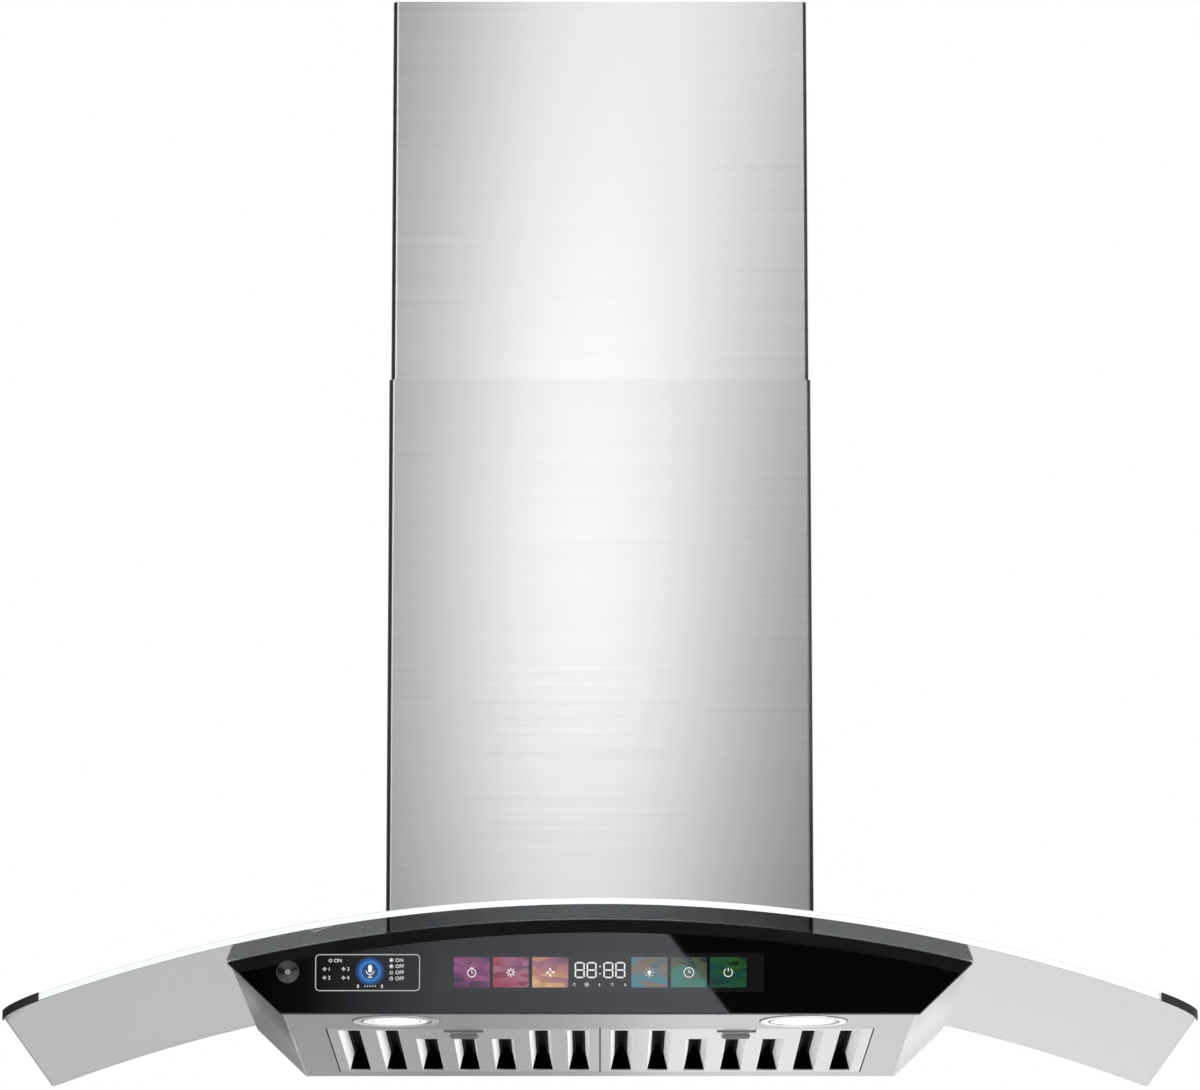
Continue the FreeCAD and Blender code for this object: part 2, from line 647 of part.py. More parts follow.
def make_filter_frame(name, side):
    body = new_body(f"filter_frame_{name}", (filter_centre * side, 0, 0))
    half = filter_width / 2
    inside = half - dim.filter_sheet
    tray = sketch_on(body, "XY_Plane")
    pad(body, rectangle(tray, -half, -dim.filter_front, half, -filter_rear), dim.filter_thick)
    hollow = sketch_on(body, "XY_Plane", dim.filter_sheet)
    rectangle(hollow, -inside, dim.filter_sheet - dim.filter_front, inside, -filter_rear - dim.filter_sheet)
    pocket(body, hollow, dim.filter_thick)
    slots = sketch_on(body, "XY_Plane")
    draw_slots(slots)
    finger = dim.finger_width / 2 + dim.filter_gap
    front = dim.finger_back - dim.filter_front
    rectangle(slots, -finger, front - dim.filter_gap, finger,
              front + dim.finger_length + dim.latch_travel + dim.filter_gap)
    pocket(body, slots)
    add_slot_walls(body, [number for number in range(SLOT_COUNT) if number not in SHORT_SLOTS])
    add_slot_walls(body, SHORT_SLOTS)
    windows = sketch_on(body, "XZ_Plane", filter_rear - dim.filter_sheet)
    for number in range(SLOT_COUNT):
        left, _, right = slot_span(number)
        lean = (dim.slot_width - dim.slot_knee_width) / 2
        outline(windows, [(left, dim.filter_sheet), (right, dim.filter_sheet),
                          (right - lean, dim.slot_rise), (left + lean, dim.slot_rise)])
    pocket(body, windows, dim.filter_sheet * 3)
    mouth = sketch_on(body, "XZ_Plane", dim.filter_front - dim.latch_notch)
    reach = dim.latch_width / 2 + dim.latch_clear
    top = dim.filter_sheet + dim.latch_thick + dim.latch_clear * 2
    pocket(body, rectangle(mouth, -reach, -MARGIN, reach, top), dim.latch_notch + MARGIN)
    guide = sketch_on(body, "XZ_Plane", dim.filter_front - dim.guide_back)
    wall = reach + dim.filter_sheet
    foot = dim.filter_sheet / 2
    outline(guide, [(-wall, foot), (-reach, foot), (-reach, top), (reach, top), (reach, foot), (wall, foot),
                    (wall, top + dim.filter_sheet), (-wall, top + dim.filter_sheet)])
    pad(body, guide, dim.guide_length)
    lip = sketch_on(body, "XY_Plane", dim.lip_rise)
    width = half - dim.lip_inset
    rectangle(lip, -width, -filter_rear - dim.filter_sheet / 2, width, dim.lip_length - filter_rear)
    pad(body, lip, dim.lip_thick)


def make_filter_baffles(name, side):
    """Inverted channels that roof the slots, so that air has to turn twice."""
    front = dim.filter_sheet - dim.filter_front
    rear = -filter_rear - dim.filter_sheet
    channels = []
    for number in range(SLOT_COUNT):
        centre = slot_pitch * (number - (SLOT_COUNT - 1) / 2)
        half = dim.baffle_width / 2
        inside = half - dim.filter_sheet
        solid = block((centre - half, front, dim.baffle_low), (centre + half, rear, dim.baffle_top))
        hollow = block((centre - inside, front - MARGIN, dim.baffle_low - MARGIN),
                       (centre + inside, rear + MARGIN, dim.baffle_top - dim.filter_sheet))
        channels.append(cut(solid, hollow))
    finish(group(*channels), f"filter_baffles_{name}", (filter_centre * side, 0, 0))


def make_filter_latch(name, side):
    """Sliding plate with a tongue at its front and a U-shaped finger pull that hangs below the filter."""
    half = dim.latch_width / 2
    low = dim.filter_sheet + dim.latch_clear
    tip = -dim.filter_front - dim.latch_reach
    plate = block((-half, tip, low), (half, tip + dim.latch_length, low + dim.latch_thick))
    pull = dim.finger_width / 2
    front = dim.finger_back - dim.filter_front
    rear = front + dim.finger_length
    shell = block((-pull, front, -dim.finger_drop), (pull, rear, low + dim.latch_thick))
    wall = dim.latch_thick
    inside = block((wall - pull, front + wall, -dim.finger_drop - MARGIN), (pull - wall, rear + MARGIN, low))
    finish(fuse(plate, cut(shell, inside)), f"filter_latch_{name}", (filter_centre * side, 0, 0))


# Chimney covers
def folded_outline(sketch, half, front, rear, fold):
    """Plan of a cover whose two front corners are bent round with the radius fold."""
    return outline(
        sketch,
        [(-half, -rear), (-half, fold - front), (fold - half, -front),
         (half - fold, -front), (half, fold - front), (half, -rear)],
        {1: (fold, 1), 3: (fold, 1)})


def chimney_channel(body, half, front, rear, low, high):
    """Folded channel with an open back and two flanges along the wall."""
    wall = dim.chimney_sheet
    outer = sketch_on(body, "XY_Plane", low)
    pad(body, folded_outline(outer, half, front, rear, dim.chimney_fold), high - low)
    inner = sketch_on(body, "XY_Plane")
    folded_outline(inner, half - wall, front - wall, rear + wall, dim.chimney_fold - wall)
    pocket(body, inner)
    mouth = sketch_on(body, "XY_Plane")
    opening = half - dim.chimney_flange
    pocket(body, rectangle(mouth, -opening, -rear - wall * 2, opening, MARGIN - rear))


def make_lower_chimney():
    body = new_body("lower_chimney")
    chimney_channel(body, chimney_half, dim.chimney_depth, as_size(0), dim.box_bottom_rise, dim.joint_rise)
    seat = sketch_on(body, "XZ_Plane")
    reach = chimney_half + MARGIN
    top = -(dim.glass_thick + dim.chimney_seat)
    body_section(seat, reach, reach, 0, top)
    pocket(body, seat)


def make_upper_chimney():
    body = new_body("upper_chimney")
    # The cover reaches from its top down past the joint, and overlaps the lower cover there
    upper_length = dim.upper_top_rise - dim.joint_rise + dim.upper_overlap
    low = dim.upper_top_rise - upper_length
    chimney_channel(body, upper_half, dim.chimney_depth - upper_inset, upper_inset, low, dim.upper_top_rise)
    relief = sketch_on(body, "XZ_Plane")
    inside = upper_half - dim.chimney_sheet
    bottom = dim.upper_top_rise - dim.bracket_drop - MARGIN
    rectangle(relief, -inside, bottom, inside, dim.upper_top_rise + MARGIN)
    pocket(body, relief, upper_inset + dim.chimney_sheet * 2)
    holes = sketch_on(body, "YZ_Plane")
    level = dim.upper_top_rise - dim.bracket_drop + dim.bracket_height / 2
    circle(holes, -dim.cover_screw_depth, level, dim.cover_screw_radius + dim.bracket_clear)
    pocket(body, holes)


def make_chimney_bracket():
    body = new_body("chimney_bracket")
    half = upper_half - dim.chimney_sheet - dim.bracket_clear
    wall = dim.bracket_thick
    low = dim.upper_top_rise - dim.bracket_drop
    channel = sketch_on(body, "XY_Plane", low)
    outline(channel, [(-half, -dim.bracket_tab), (wall - half, -dim.bracket_tab), (wall - half, -wall),
                      (half - wall, -wall), (half - wall, -dim.bracket_tab), (half, -dim.bracket_tab),
                      (half, 0), (-half, 0)])
    pad(body, channel, dim.bracket_height)
    level = low + dim.bracket_height / 2
    wall_holes = sketch_on(body, "XZ_Plane")
    for side in (-1, 1):
        circle(wall_holes, dim.bracket_hole_spacing * side / 2, level, dim.bracket_hole_radius)
    pocket(body, wall_holes)
    tab_holes = sketch_on(body, "YZ_Plane")
    circle(tab_holes, -dim.cover_screw_depth, level, dim.cover_screw_radius + dim.bracket_clear)
    pocket(body, tab_holes)


def make_chimney_screws():
    level = dim.upper_top_rise - dim.bracket_drop + dim.bracket_height / 2
    shank = dim.chimney_sheet + dim.bracket_clear + dim.bracket_thick * 2
    screws = []
    for side in (-1, 1):
        start = upper_half - shank if side > 0 else -upper_half
        head = upper_half if side > 0 else -upper_half - dim.screw_head_thick
        screws.append(fuse(
            rod(dim.cover_screw_radius, shank, (start, -dim.cover_screw_depth, level), "x"),
            rod(dim.cover_screw_head, dim.screw_head_thick, (head, -dim.cover_screw_depth, level), "x")))
    finish(group(*screws), "chimney_screws")


# Blower
def make_blower_box():
    body = new_body("blower_box")
    wall = dim.box_sheet
    shell = sketch_on(body, "XY_Plane", dim.box_bottom_rise)
    pad(body, rectangle(shell, -box_half, -box_front, box_half, -dim.back_sheet),
        dim.box_top_rise - dim.box_bottom_rise)
    hollow = sketch_on(body, "XY_Plane", dim.box_bottom_rise - MARGIN)
    pocket(body, rectangle(hollow, wall - box_half, wall - box_front, box_half - wall, 0),
           dim.box_top_rise - wall - dim.box_bottom_rise + MARGIN)
    holes = sketch_on(body, "XY_Plane")
    circle(holes, 0, -outlet_depth, dim.collar_radius - dim.collar_hole_clear)
    circle(holes, dim.gland_offset, -dim.gland_depth, dim.gland_radius + dim.gland_clear)
    for angle in COLLAR_SCREW_ANGLES:
        x, y = on_circle(dim.collar_screw_circle, angle)
        circle(holes, x, y - outlet_depth, dim.small_screw_radius + dim.screw_clear)
    pocket(body, holes)


def scroll_outline(sketch, wall, top):
    """Scroll of three quarter arcs that open out step by step and run up into the outlet."""
    step = dim.scroll_step / 2
    small = dim.scroll_radius - wall
    middle = small + dim.scroll_step
    large = middle + dim.scroll_step
    tongue = small - step
    corners = [(step, tongue), (step + small, -step), (-step, -step - middle), (-step - large, step),
               (-step - large, top), (step - wall, top)]
    if wall.value > 0:
        corners.append((step - wall, tongue))
    bends = {0: (small, -1), 1: (middle, -1), 2: (large, -1)}
    return outline(sketch, corners, bends)


def make_volute():
    body = new_body("volute", (0, -dim.fan_depth, dim.fan_rise))
    top = dim.box_top_rise - dim.box_sheet - dim.fan_rise
    outer = sketch_on(body, "YZ_Plane")
    pad(body, scroll_outline(outer, as_size(0), top), dim.scroll_half_width * 2, symmetric=True)
    inner = sketch_on(body, "YZ_Plane")
    scroll_outline(inner, dim.scroll_wall, top + MARGIN)
    pocket(body, inner, (dim.scroll_half_width - dim.scroll_wall) * 2, symmetric=True)
    inlets = sketch_on(body, "YZ_Plane")
    pocket(body, circle(inlets, 0, 0, dim.inlet_hole_radius))


def make_inlet_ring(name, side):
    """Flanged cone that leads air into one side of the scroll."""
    body = new_body(f"inlet_ring_{name}", (0, -dim.fan_depth, dim.fan_rise))
    profile = sketch_on(body, "XY_Plane")
    face = dim.scroll_half_width
    sheet_thick = dim.inlet_sheet
    lip = dim.inlet_throat_radius + dim.inlet_cone
    throat = face + sheet_thick - dim.inlet_cone
    corners = [(face, dim.inlet_flange_radius), (face + sheet_thick, dim.inlet_flange_radius),
               (face + sheet_thick, lip), (throat, dim.inlet_throat_radius),
               (throat, dim.inlet_throat_radius + sheet_thick), (face, lip)]
    outline(profile, [(x * side, y) for x, y in corners])
    ring = body.newObject("PartDesign::Revolution", f"{body.Name}_revolution")
    ring.Profile = profile
    ring.ReferenceAxis = (profile, ["H_Axis"])
    ring.Angle = 360


def make_impeller():
    """Squirrel-cage wheel: middle plate, forward-curved blades and an end ring on each side."""
    body = new_body("impeller", (0, -dim.fan_depth, dim.fan_rise))
    plate = sketch_on(body, "YZ_Plane")
    pad(body, circle(plate, 0, 0, dim.wheel_radius), dim.wheel_plate, symmetric=True)
    hub = sketch_on(body, "YZ_Plane")
    pad(body, circle(hub, 0, 0, dim.hub_radius), dim.hub_half_length * 2, symmetric=True)
    for offset in (dim.wheel_half_width - dim.wheel_plate, -dim.wheel_half_width):
        ring = sketch_on(body, "YZ_Plane", offset)
        circle(ring, 0, 0, dim.wheel_radius)
        circle(ring, 0, 0, dim.wheel_eye_radius + dim.blade_thick)
        pad(body, ring, dim.wheel_plate)
    blade = sketch_on(body, "YZ_Plane")
    inner = (dim.wheel_eye_radius, as_size(0))
    knee = on_circle(dim.blade_knee, BLADE_KNEE_ANGLE)
    tip = on_circle(dim.wheel_radius - dim.blade_thick, BLADE_TIP_ANGLE)
    back = [(x, y + dim.blade_thick) for x, y in (tip, knee, inner)]
    outline(blade, [inner, knee, tip, *back])
    first = pad(body, blade, dim.wheel_half_width * 2, symmetric=True)
    pattern = body.newObject("PartDesign::PolarPattern", "impeller_blades")
    pattern.Originals = [first]
    axis = [item for item in body.Origin.OriginFeatures if item.Role == "X_Axis"][0]
    pattern.Axis = (axis, [""])
    pattern.Angle = 360
    pattern.Occurrences = BLADE_COUNT
    body.Tip = pattern
    bore = sketch_on(body, "YZ_Plane")
    pocket(body, circle(bore, 0, 0, dim.shaft_radius))


def make_motor_shaft():
    shaft = rod(dim.shaft_radius, dim.shaft_inner + dim.shaft_outer, (0, 0, 0), "x")
    finish(shaft, "motor_shaft", (-dim.shaft_inner, -dim.fan_depth, dim.fan_rise))


def make_motor():
    """Stepped round motor inside the left half of the wheel, bored for its shaft."""
    body = new_body("motor", (0, -dim.fan_depth, dim.fan_rise))
    profile = sketch_on(body, "XY_Plane")
    bore = dim.shaft_radius + dim.shaft_clear
    back = -bracket_face
    front = -dim.motor_front
    shoulder = front - dim.motor_step
    outline(profile, [(back, bore), (front, bore), (front, dim.motor_nose_radius),
                      (shoulder, dim.motor_nose_radius), (shoulder, dim.motor_radius),
                      (back + dim.motor_step, dim.motor_radius),
                      (back + dim.motor_step, dim.motor_nose_radius), (back, dim.motor_nose_radius)])
    turned = body.newObject("PartDesign::Revolution", "motor_revolution")
    turned.Profile = profile
    turned.ReferenceAxis = (profile, ["H_Axis"])
    turned.Angle = 360


def make_motor_bracket():
    """Three-armed spider across the left inlet that carries the motor."""
    body = new_body("motor_bracket", (0, -dim.fan_depth, dim.fan_rise))
    start = -bracket_face - dim.arm_plate
    disc = sketch_on(body, "YZ_Plane", start)
    pad(body, circle(disc, 0, 0, dim.bracket_hub_radius), dim.arm_plate)
    ring = sketch_on(body, "YZ_Plane", start)
    circle(ring, 0, 0, dim.bracket_ring_radius)
    circle(ring, 0, 0, dim.bracket_ring_radius - dim.bracket_ring_band)
    pad(body, ring, dim.arm_plate)
    arm = sketch_on(body, "YZ_Plane", start)
    half = dim.arm_width / 2
    rectangle(arm, -half, dim.bracket_hub_radius - MARGIN, half, dim.bracket_ring_radius - MARGIN)
    first = pad(body, arm, dim.arm_plate)
    pattern = body.newObject("PartDesign::PolarPattern", "bracket_arms")
    pattern.Originals = [first]
    axis = [item for item in body.Origin.OriginFeatures if item.Role == "X_Axis"][0]
    pattern.Axis = (axis, [""])
    pattern.Angle = 360
    pattern.Occurrences = len(ARM_ANGLES)
    body.Tip = pattern
    bore = sketch_on(body, "YZ_Plane")
    circle(bore, 0, 0, dim.shaft_radius + dim.arm_plate)
    pocket(body, bore)


def make_bracket_screws():
    """One screw at the end of each arm of the motor bracket."""
    circle_radius = dim.bracket_ring_radius - dim.bracket_ring_band / 2
    start = -bracket_face - dim.arm_plate - dim.screw_head_thick
    screws = []
    for angle in ARM_ANGLES:
        y, z = on_circle(circle_radius, angle)
        screws.append(hexagon(dim.small_screw_head, dim.screw_head_thick, (start, y, z), "x"))
    finish(group(*screws), "bracket_screws", (0, -dim.fan_depth, dim.fan_rise))


# Electrical pieces
def make_capacitor():
    can = rod(dim.capacitor_radius, dim.capacitor_length, (0, 0, 0))
    finish(can, "capacitor", (dim.capacitor_offset, -dim.capacitor_depth, dim.box_top_rise))


def make_control_box():
    half = dim.control_width / 2
    wall = dim.control_wall
    low = (-dim.control_offset - half, -dim.control_depth - dim.control_length / 2, dim.box_top_rise)
    high = (low[0] + dim.control_width, low[1] + dim.control_length, low[2] + dim.control_height)
    shell = block(low, high)
    hollow = block((low[0] + wall, low[1] + wall, low[2] + wall),
                   (high[0] - wall, high[1] - wall, high[2] + wall))
    finish(cut(shell, hollow), "control_box")
    cover = block((low[0], low[1], high[2]), (high[0], high[1], high[2] + wall))
    finish(cover, "control_cover", (low[0], low[1], high[2]))


def make_cable_gland():
    at = (dim.gland_offset, -dim.gland_depth, dim.box_top_rise)
    body = hexagon(dim.gland_hex, dim.gland_hex_height, at)
    thread = rod(dim.gland_radius, dim.gland_nut, (at[0], at[1], at[2] - dim.gland_nut))
    nut_base = at[2] + dim.gland_hex_height
    nut = rod(dim.gland_radius + dim.gland_clear * 4, dim.gland_nut, (at[0], at[1], nut_base))
    bore = rod(dim.gland_bore, dim.gland_nut * 4, (at[0], at[1], at[2] - dim.gland_nut * 2))
    finish(cut(fuse(body, thread, nut), bore), "cable_gland")


# Outlet collar and damper
def make_outlet_collar():
    at = (0, -outlet_depth, dim.box_top_rise)
    inner = dim.collar_radius - dim.collar_wall
    flange = rod(dim.collar_flange, dim.collar_plate, at)
    tube = rod(dim.collar_radius, dim.collar_height, at)
    bore = rod(inner, dim.collar_height * 2, (0, at[1], at[2] - dim.collar_height / 2))
    hole = rod(dim.spindle_radius, dim.collar_flange * 2, (-dim.collar_flange, at[1], spindle_level), "x")
    holes = [hole]
    for angle in COLLAR_SCREW_ANGLES:
        x, y = on_circle(dim.collar_screw_circle, angle)
        holes.append(rod(dim.small_screw_radius + dim.screw_clear, dim.collar_plate * 3,
                         (x, y - outlet_depth, dim.box_top_rise - dim.collar_plate)))
    finish(cut(fuse(flange, tube), bore, *holes), "outlet_collar")


def make_collar_screws():
    screws = []
    level = dim.box_top_rise + dim.collar_plate
    for angle in COLLAR_SCREW_ANGLES:
        x, y = on_circle(dim.collar_screw_circle, angle)
        y = y - outlet_depth
        shank = rod(dim.small_screw_radius, dim.small_screw_length, (x, y, level - dim.small_screw_length))
        screws.append(fuse(shank, hexagon(dim.small_screw_head, dim.screw_head_thick, (x, y, level))))
    finish(group(*screws), "collar_screws")


def make_damper_spindle():
    length = dim.collar_radius * 2
    finish(rod(dim.spindle_radius, length, (0, 0, 0), "x"), "damper_spindle",
           (-dim.collar_radius, -outlet_depth, spindle_level))


def make_damper_flap(label, side):
    """Half disc on two knuckles that turn on the spindle; side is +1 at the wall, -1 at the front."""
    radius = dim.collar_radius - dim.collar_wall - dim.flap_gap
    half = dim.flap_thick / 2
    disc = rod(radius, dim.flap_thick, (0, 0, -half))
    edge = dim.flap_root
    keep_low, keep_high = (edge, radius + MARGIN) if side > 0 else (-radius - MARGIN, -edge)
    parts = [common(disc, block((-radius, keep_low, -half), (radius, keep_high, half)))]
    bore = dim.spindle_radius + dim.knuckle_bore_clear
    tab_low, tab_high = dim.knuckle_radius - dim.flap_thick, edge + dim.flap_thick
    if side < 0:
        tab_low, tab_high = -tab_high, -tab_low
    for step in KNUCKLE_STEPS[side]:
        start = dim.knuckle_space * step - dim.knuckle_length / 2
        barrel = rod(dim.knuckle_radius, dim.knuckle_length, (start, 0, 0), "x")
        tab = block((start, tab_low, -half), (start + dim.knuckle_length, tab_high, half))
        parts += [barrel, tab]
    hole = rod(bore, radius * 2, (-radius, 0, 0), "x")
    finish(cut(fuse(*parts), hole), label, (0, -outlet_depth, spindle_level))


def make_all():
    """Make every piece of the hood."""
    make_back_panel()
    make_canopy_shell()
    make_bottom_panel()
    make_front_panel()
    make_fascia_glass()
    make_window_module("display_module", as_size(0), dim.display_rise,
                       dim.display_width, dim.display_height, dim.display_deep)
    make_window_module("voice_module", -voice_offset, dim.voice_rise,
                       dim.voice_width, dim.voice_height, dim.voice_deep)
    make_sensor()
    make_glass()
    make_gasket()
    make_glass_clamps()
    for name, side in (("left", -1), ("right", 1)):
        make_corner_guard(f"corner_guard_{name}", side)
        make_lamp(name, side)
        make_filter_frame(name, side)
        make_filter_baffles(name, side)
        make_filter_latch(name, side)
        make_inlet_ring(name, side)
    make_lower_chimney()
    make_upper_chimney()
    make_chimney_bracket()
    make_chimney_screws()
    make_blower_box()
    make_volute()
    make_impeller()
    make_motor_shaft()
    make_motor()
    make_motor_bracket()
    make_bracket_screws()
    make_capacitor()
    make_control_box()
    make_cable_gland()
    make_outlet_collar()
    make_collar_screws()
    make_damper_spindle()
    make_damper_flap("damper_flap_rear", 1)
    make_damper_flap("damper_flap_front", -1)


def write_pieces():
    """Check every object and write each piece to its own file."""
    doc.recompute()
    for item in doc.Objects:
        if "Invalid" in item.State or "Error" in item.State:
            raise RuntimeError(f"{item.Name} ({item.Label}) failed: {item.State}")
    for piece in pieces:
        if piece.Shape.isNull() or not piece.Shape.isValid():
            raise RuntimeError(f"{piece.Label} has no valid shape")
    os.makedirs("parts", exist_ok=True)
    for piece in pieces:
        piece.Shape.exportStep(f"parts/{piece.Label}.step")
    print(f"{len(pieces)} pieces written")


make_all()
write_pieces()
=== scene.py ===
# %% [markdown]
# # Wall range hood with a bent glass canopy
# The frame brings in every solid of the hood under its own name, in metres, with the wall at y = 0 and the
# front towards -y. This lesson dresses those solids: steel, glass, plastic and rubber finishes, the smooth
# bent glass, the lit display behind the fascia, and a plain studio to see it in. The solids keep their
# places, because the joints of the working model turn about them.

# %% Open the shared frame
import json
import math

import bmesh
import bpy
from mathutils import Matrix, Vector

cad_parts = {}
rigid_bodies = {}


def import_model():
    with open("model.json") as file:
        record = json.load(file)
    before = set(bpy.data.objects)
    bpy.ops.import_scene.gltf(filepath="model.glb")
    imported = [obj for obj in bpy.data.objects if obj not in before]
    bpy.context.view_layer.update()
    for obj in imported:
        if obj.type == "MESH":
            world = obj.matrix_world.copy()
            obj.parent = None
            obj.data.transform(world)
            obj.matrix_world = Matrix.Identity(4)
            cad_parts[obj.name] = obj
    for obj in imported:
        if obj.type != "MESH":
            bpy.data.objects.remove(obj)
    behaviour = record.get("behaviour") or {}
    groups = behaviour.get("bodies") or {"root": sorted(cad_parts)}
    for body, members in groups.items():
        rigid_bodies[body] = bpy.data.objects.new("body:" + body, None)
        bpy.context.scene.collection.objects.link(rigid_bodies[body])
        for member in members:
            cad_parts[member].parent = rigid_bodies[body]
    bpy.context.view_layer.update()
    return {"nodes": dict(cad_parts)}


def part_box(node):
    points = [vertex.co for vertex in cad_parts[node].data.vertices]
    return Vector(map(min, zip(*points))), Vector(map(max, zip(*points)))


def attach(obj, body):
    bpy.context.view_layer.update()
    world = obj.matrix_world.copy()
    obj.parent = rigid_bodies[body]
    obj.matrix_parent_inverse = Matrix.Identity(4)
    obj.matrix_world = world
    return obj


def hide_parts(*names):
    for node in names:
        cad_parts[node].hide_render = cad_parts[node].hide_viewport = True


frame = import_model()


# %% Put things in the scene
def add_object(name, data):
    """Make an object of some data and put it in the scene."""
    made = bpy.data.objects.new(name, data)
    bpy.context.scene.collection.objects.link(made)
    return made


# %% [markdown]
# ## The camera
# The photograph looks up at the hood from in front and below, through a long lens that keeps its sides
# nearly parallel. A camera could be placed by eye, but its height, distance and tilt were solved from the
# corners of the chimney, the glass and the fascia, so the picture lines up without any shift of the lens.

# %% Camera
CAMERA_PLACE = (0, -5.3122, -0.9322)
CAMERA_PITCH = math.radians(11.486)
LENS_LENGTH, SENSOR_WIDTH = 193.85, 36
camera_data = bpy.data.cameras.new("photo_camera")
camera_data.sensor_fit = "HORIZONTAL"
camera_data.sensor_width = SENSOR_WIDTH
camera_data.lens = LENS_LENGTH
camera = add_object("photo_camera", camera_data)
camera.location = CAMERA_PLACE
camera.rotation_euler = (math.pi / 2 + CAMERA_PITCH, 0, 0)
bpy.context.scene.camera = camera
print("camera at", tuple(camera.location), "lens", camera_data.lens)

# %% [markdown]
# ## A short way to write nodes
# Materials, the world and the geometry trees are all node trees. Each node could be added and linked line
# by line. One helper that takes the node's kind, its inputs and its settings keeps every later cell short.


# %% Node helpers
def add_node(tree, kind, inputs=None, **settings):
    """Add a node; an input is a plain value or another node's output."""
    made = tree.nodes.new(kind)
    for name, value in settings.items():
        setattr(made, name, value)
    for socket, value in (inputs or {}).items():
        if isinstance(value, bpy.types.NodeSocket):
            tree.links.new(value, made.inputs[socket])
        else:
            made.inputs[socket].default_value = value
    return made


def mix_colour(tree, factor, first, second):
    mixed = add_node(tree, "ShaderNodeMix", {0: factor, 6: first, 7: second}, data_type="RGBA")
    return mixed.outputs[2]


def remap(tree, value, low, high):
    """Bring a 0 to 1 value into the range low to high."""
    mapped = add_node(tree, "ShaderNodeMapRange", {"Value": value, "To Min": low, "To Max": high})
    return mapped.outputs["Result"]


def shaded_spot(tree):
    """The place that is being shaded, in the object's own metres."""
    return add_node(tree, "ShaderNodeTexCoord").outputs["Object"]


def distance_between(tree, spot, point):
    offset = add_node(tree, "ShaderNodeVectorMath", {0: spot, 1: point}, operation="SUBTRACT").outputs[0]
    return add_node(tree, "ShaderNodeVectorMath", {0: offset}, operation="LENGTH").outputs["Value"]


def grey(level):
    return (level, level, level, 1)


def colour_ramp(tree, factor, stops):
    """A colour ramp through a list of (place, colour) stops, in order."""
    ramp = add_node(tree, "ShaderNodeValToRGB", {"Fac": factor})
    elements = ramp.color_ramp.elements
    elements[0].position, elements[0].color = stops[0]
    elements[1].position, elements[1].color = stops[-1]
    for place, colour in stops[1:-1]:
        elements.new(place).color = colour
    return ramp.outputs["Color"]


print("node helpers ready")

# %% [markdown]
# ## The studio's surroundings
# Steel shows what is around it more than its own colour. The picture has a white background, so the camera,
# the glass and anything seen through it meet white. For reflections the surroundings fall off from white
# behind the hood to dim at the sides and the front, as dark walls beside a table do: that draws the dark
# lines along the folded edges. Light Path tells the kinds of ray apart, and the light that falls on the
# hood stays at a plain level.

# %% World
AMBIENT, FAR_FLOOR, WHITE = grey(0.62), grey(0.55), grey(1.0)
FLOOR_BLEND = (-0.45, -0.12)
WALL_LEVELS = ((0.0, 0.03), (0.15, 0.02), (0.5, 0.0), (0.7, 0.06), (0.9, 1.0))
world = bpy.data.worlds.new("studio")
bpy.context.scene.world = world
world.use_nodes = True
tree = world.node_tree
tree.nodes.clear()
rays = add_node(tree, "ShaderNodeLightPath").outputs
direction = add_node(tree, "ShaderNodeTexCoord").outputs["Generated"]
parts = add_node(tree, "ShaderNodeSeparateXYZ", {0: direction}).outputs
depth = add_node(tree, "ShaderNodeMapRange", {"Value": parts["Y"], "From Min": -1.0, "From Max": 1.0})
upward = add_node(
    tree, "ShaderNodeMapRange", {"Value": parts["Z"], "From Min": FLOOR_BLEND[0], "From Max": FLOOR_BLEND[1]}
)
walls = colour_ramp(tree, depth.outputs["Result"], [(place, grey(level)) for place, level in WALL_LEVELS])
room = mix_colour(tree, upward.outputs["Result"], FAR_FLOOR, walls)
open_view = add_node(
    tree, "ShaderNodeMath", {0: rays["Is Camera Ray"], 1: rays["Is Transmission Ray"]}, operation="MAXIMUM"
)
around = mix_colour(tree, rays["Is Glossy Ray"], AMBIENT, room)
around = mix_colour(tree, open_view.outputs[0], around, WHITE)
background = add_node(tree, "ShaderNodeBackground", {"Color": around, "Strength": 1.0})
add_node(tree, "ShaderNodeOutputWorld", {"Surface": background.outputs[0]})
bpy.context.scene.view_settings.view_transform = "Standard"
print("world has", len(tree.nodes), "nodes")

# %% [markdown]
# ## Lamps, reflectors and the floor
# A tall strip light in front and above stands in the mirror line of the upper chimney and a short one in
# that of the lower chimney, so the middle is bright and the sides fall away. A slanted card gives the black
# fascia its grey sheen with one diagonal edge. A card low behind the hood is what the undersides mirror,
# dimmer on the left than on the right, a stripe in front of it is what the wings of the glass mirror, and a
# dark flag shades the left side of the body. The cards show only in reflections.


# %% Lamps
def area_lamp(name, place, target, size, power, roll=0.0):
    data = bpy.data.lights.new(name, "AREA")
    data.shape = "RECTANGLE"
    data.size, data.size_y = size
    data.energy = power
    lamp = add_object(name, data)
    aim = (Vector(target) - Vector(place)).to_track_quat("-Z", "Y")
    turned = aim.to_matrix().to_4x4() @ Matrix.Rotation(roll, 4, "Z")
    lamp.matrix_world = Matrix.Translation(place) @ turned
    lamp.visible_camera = False


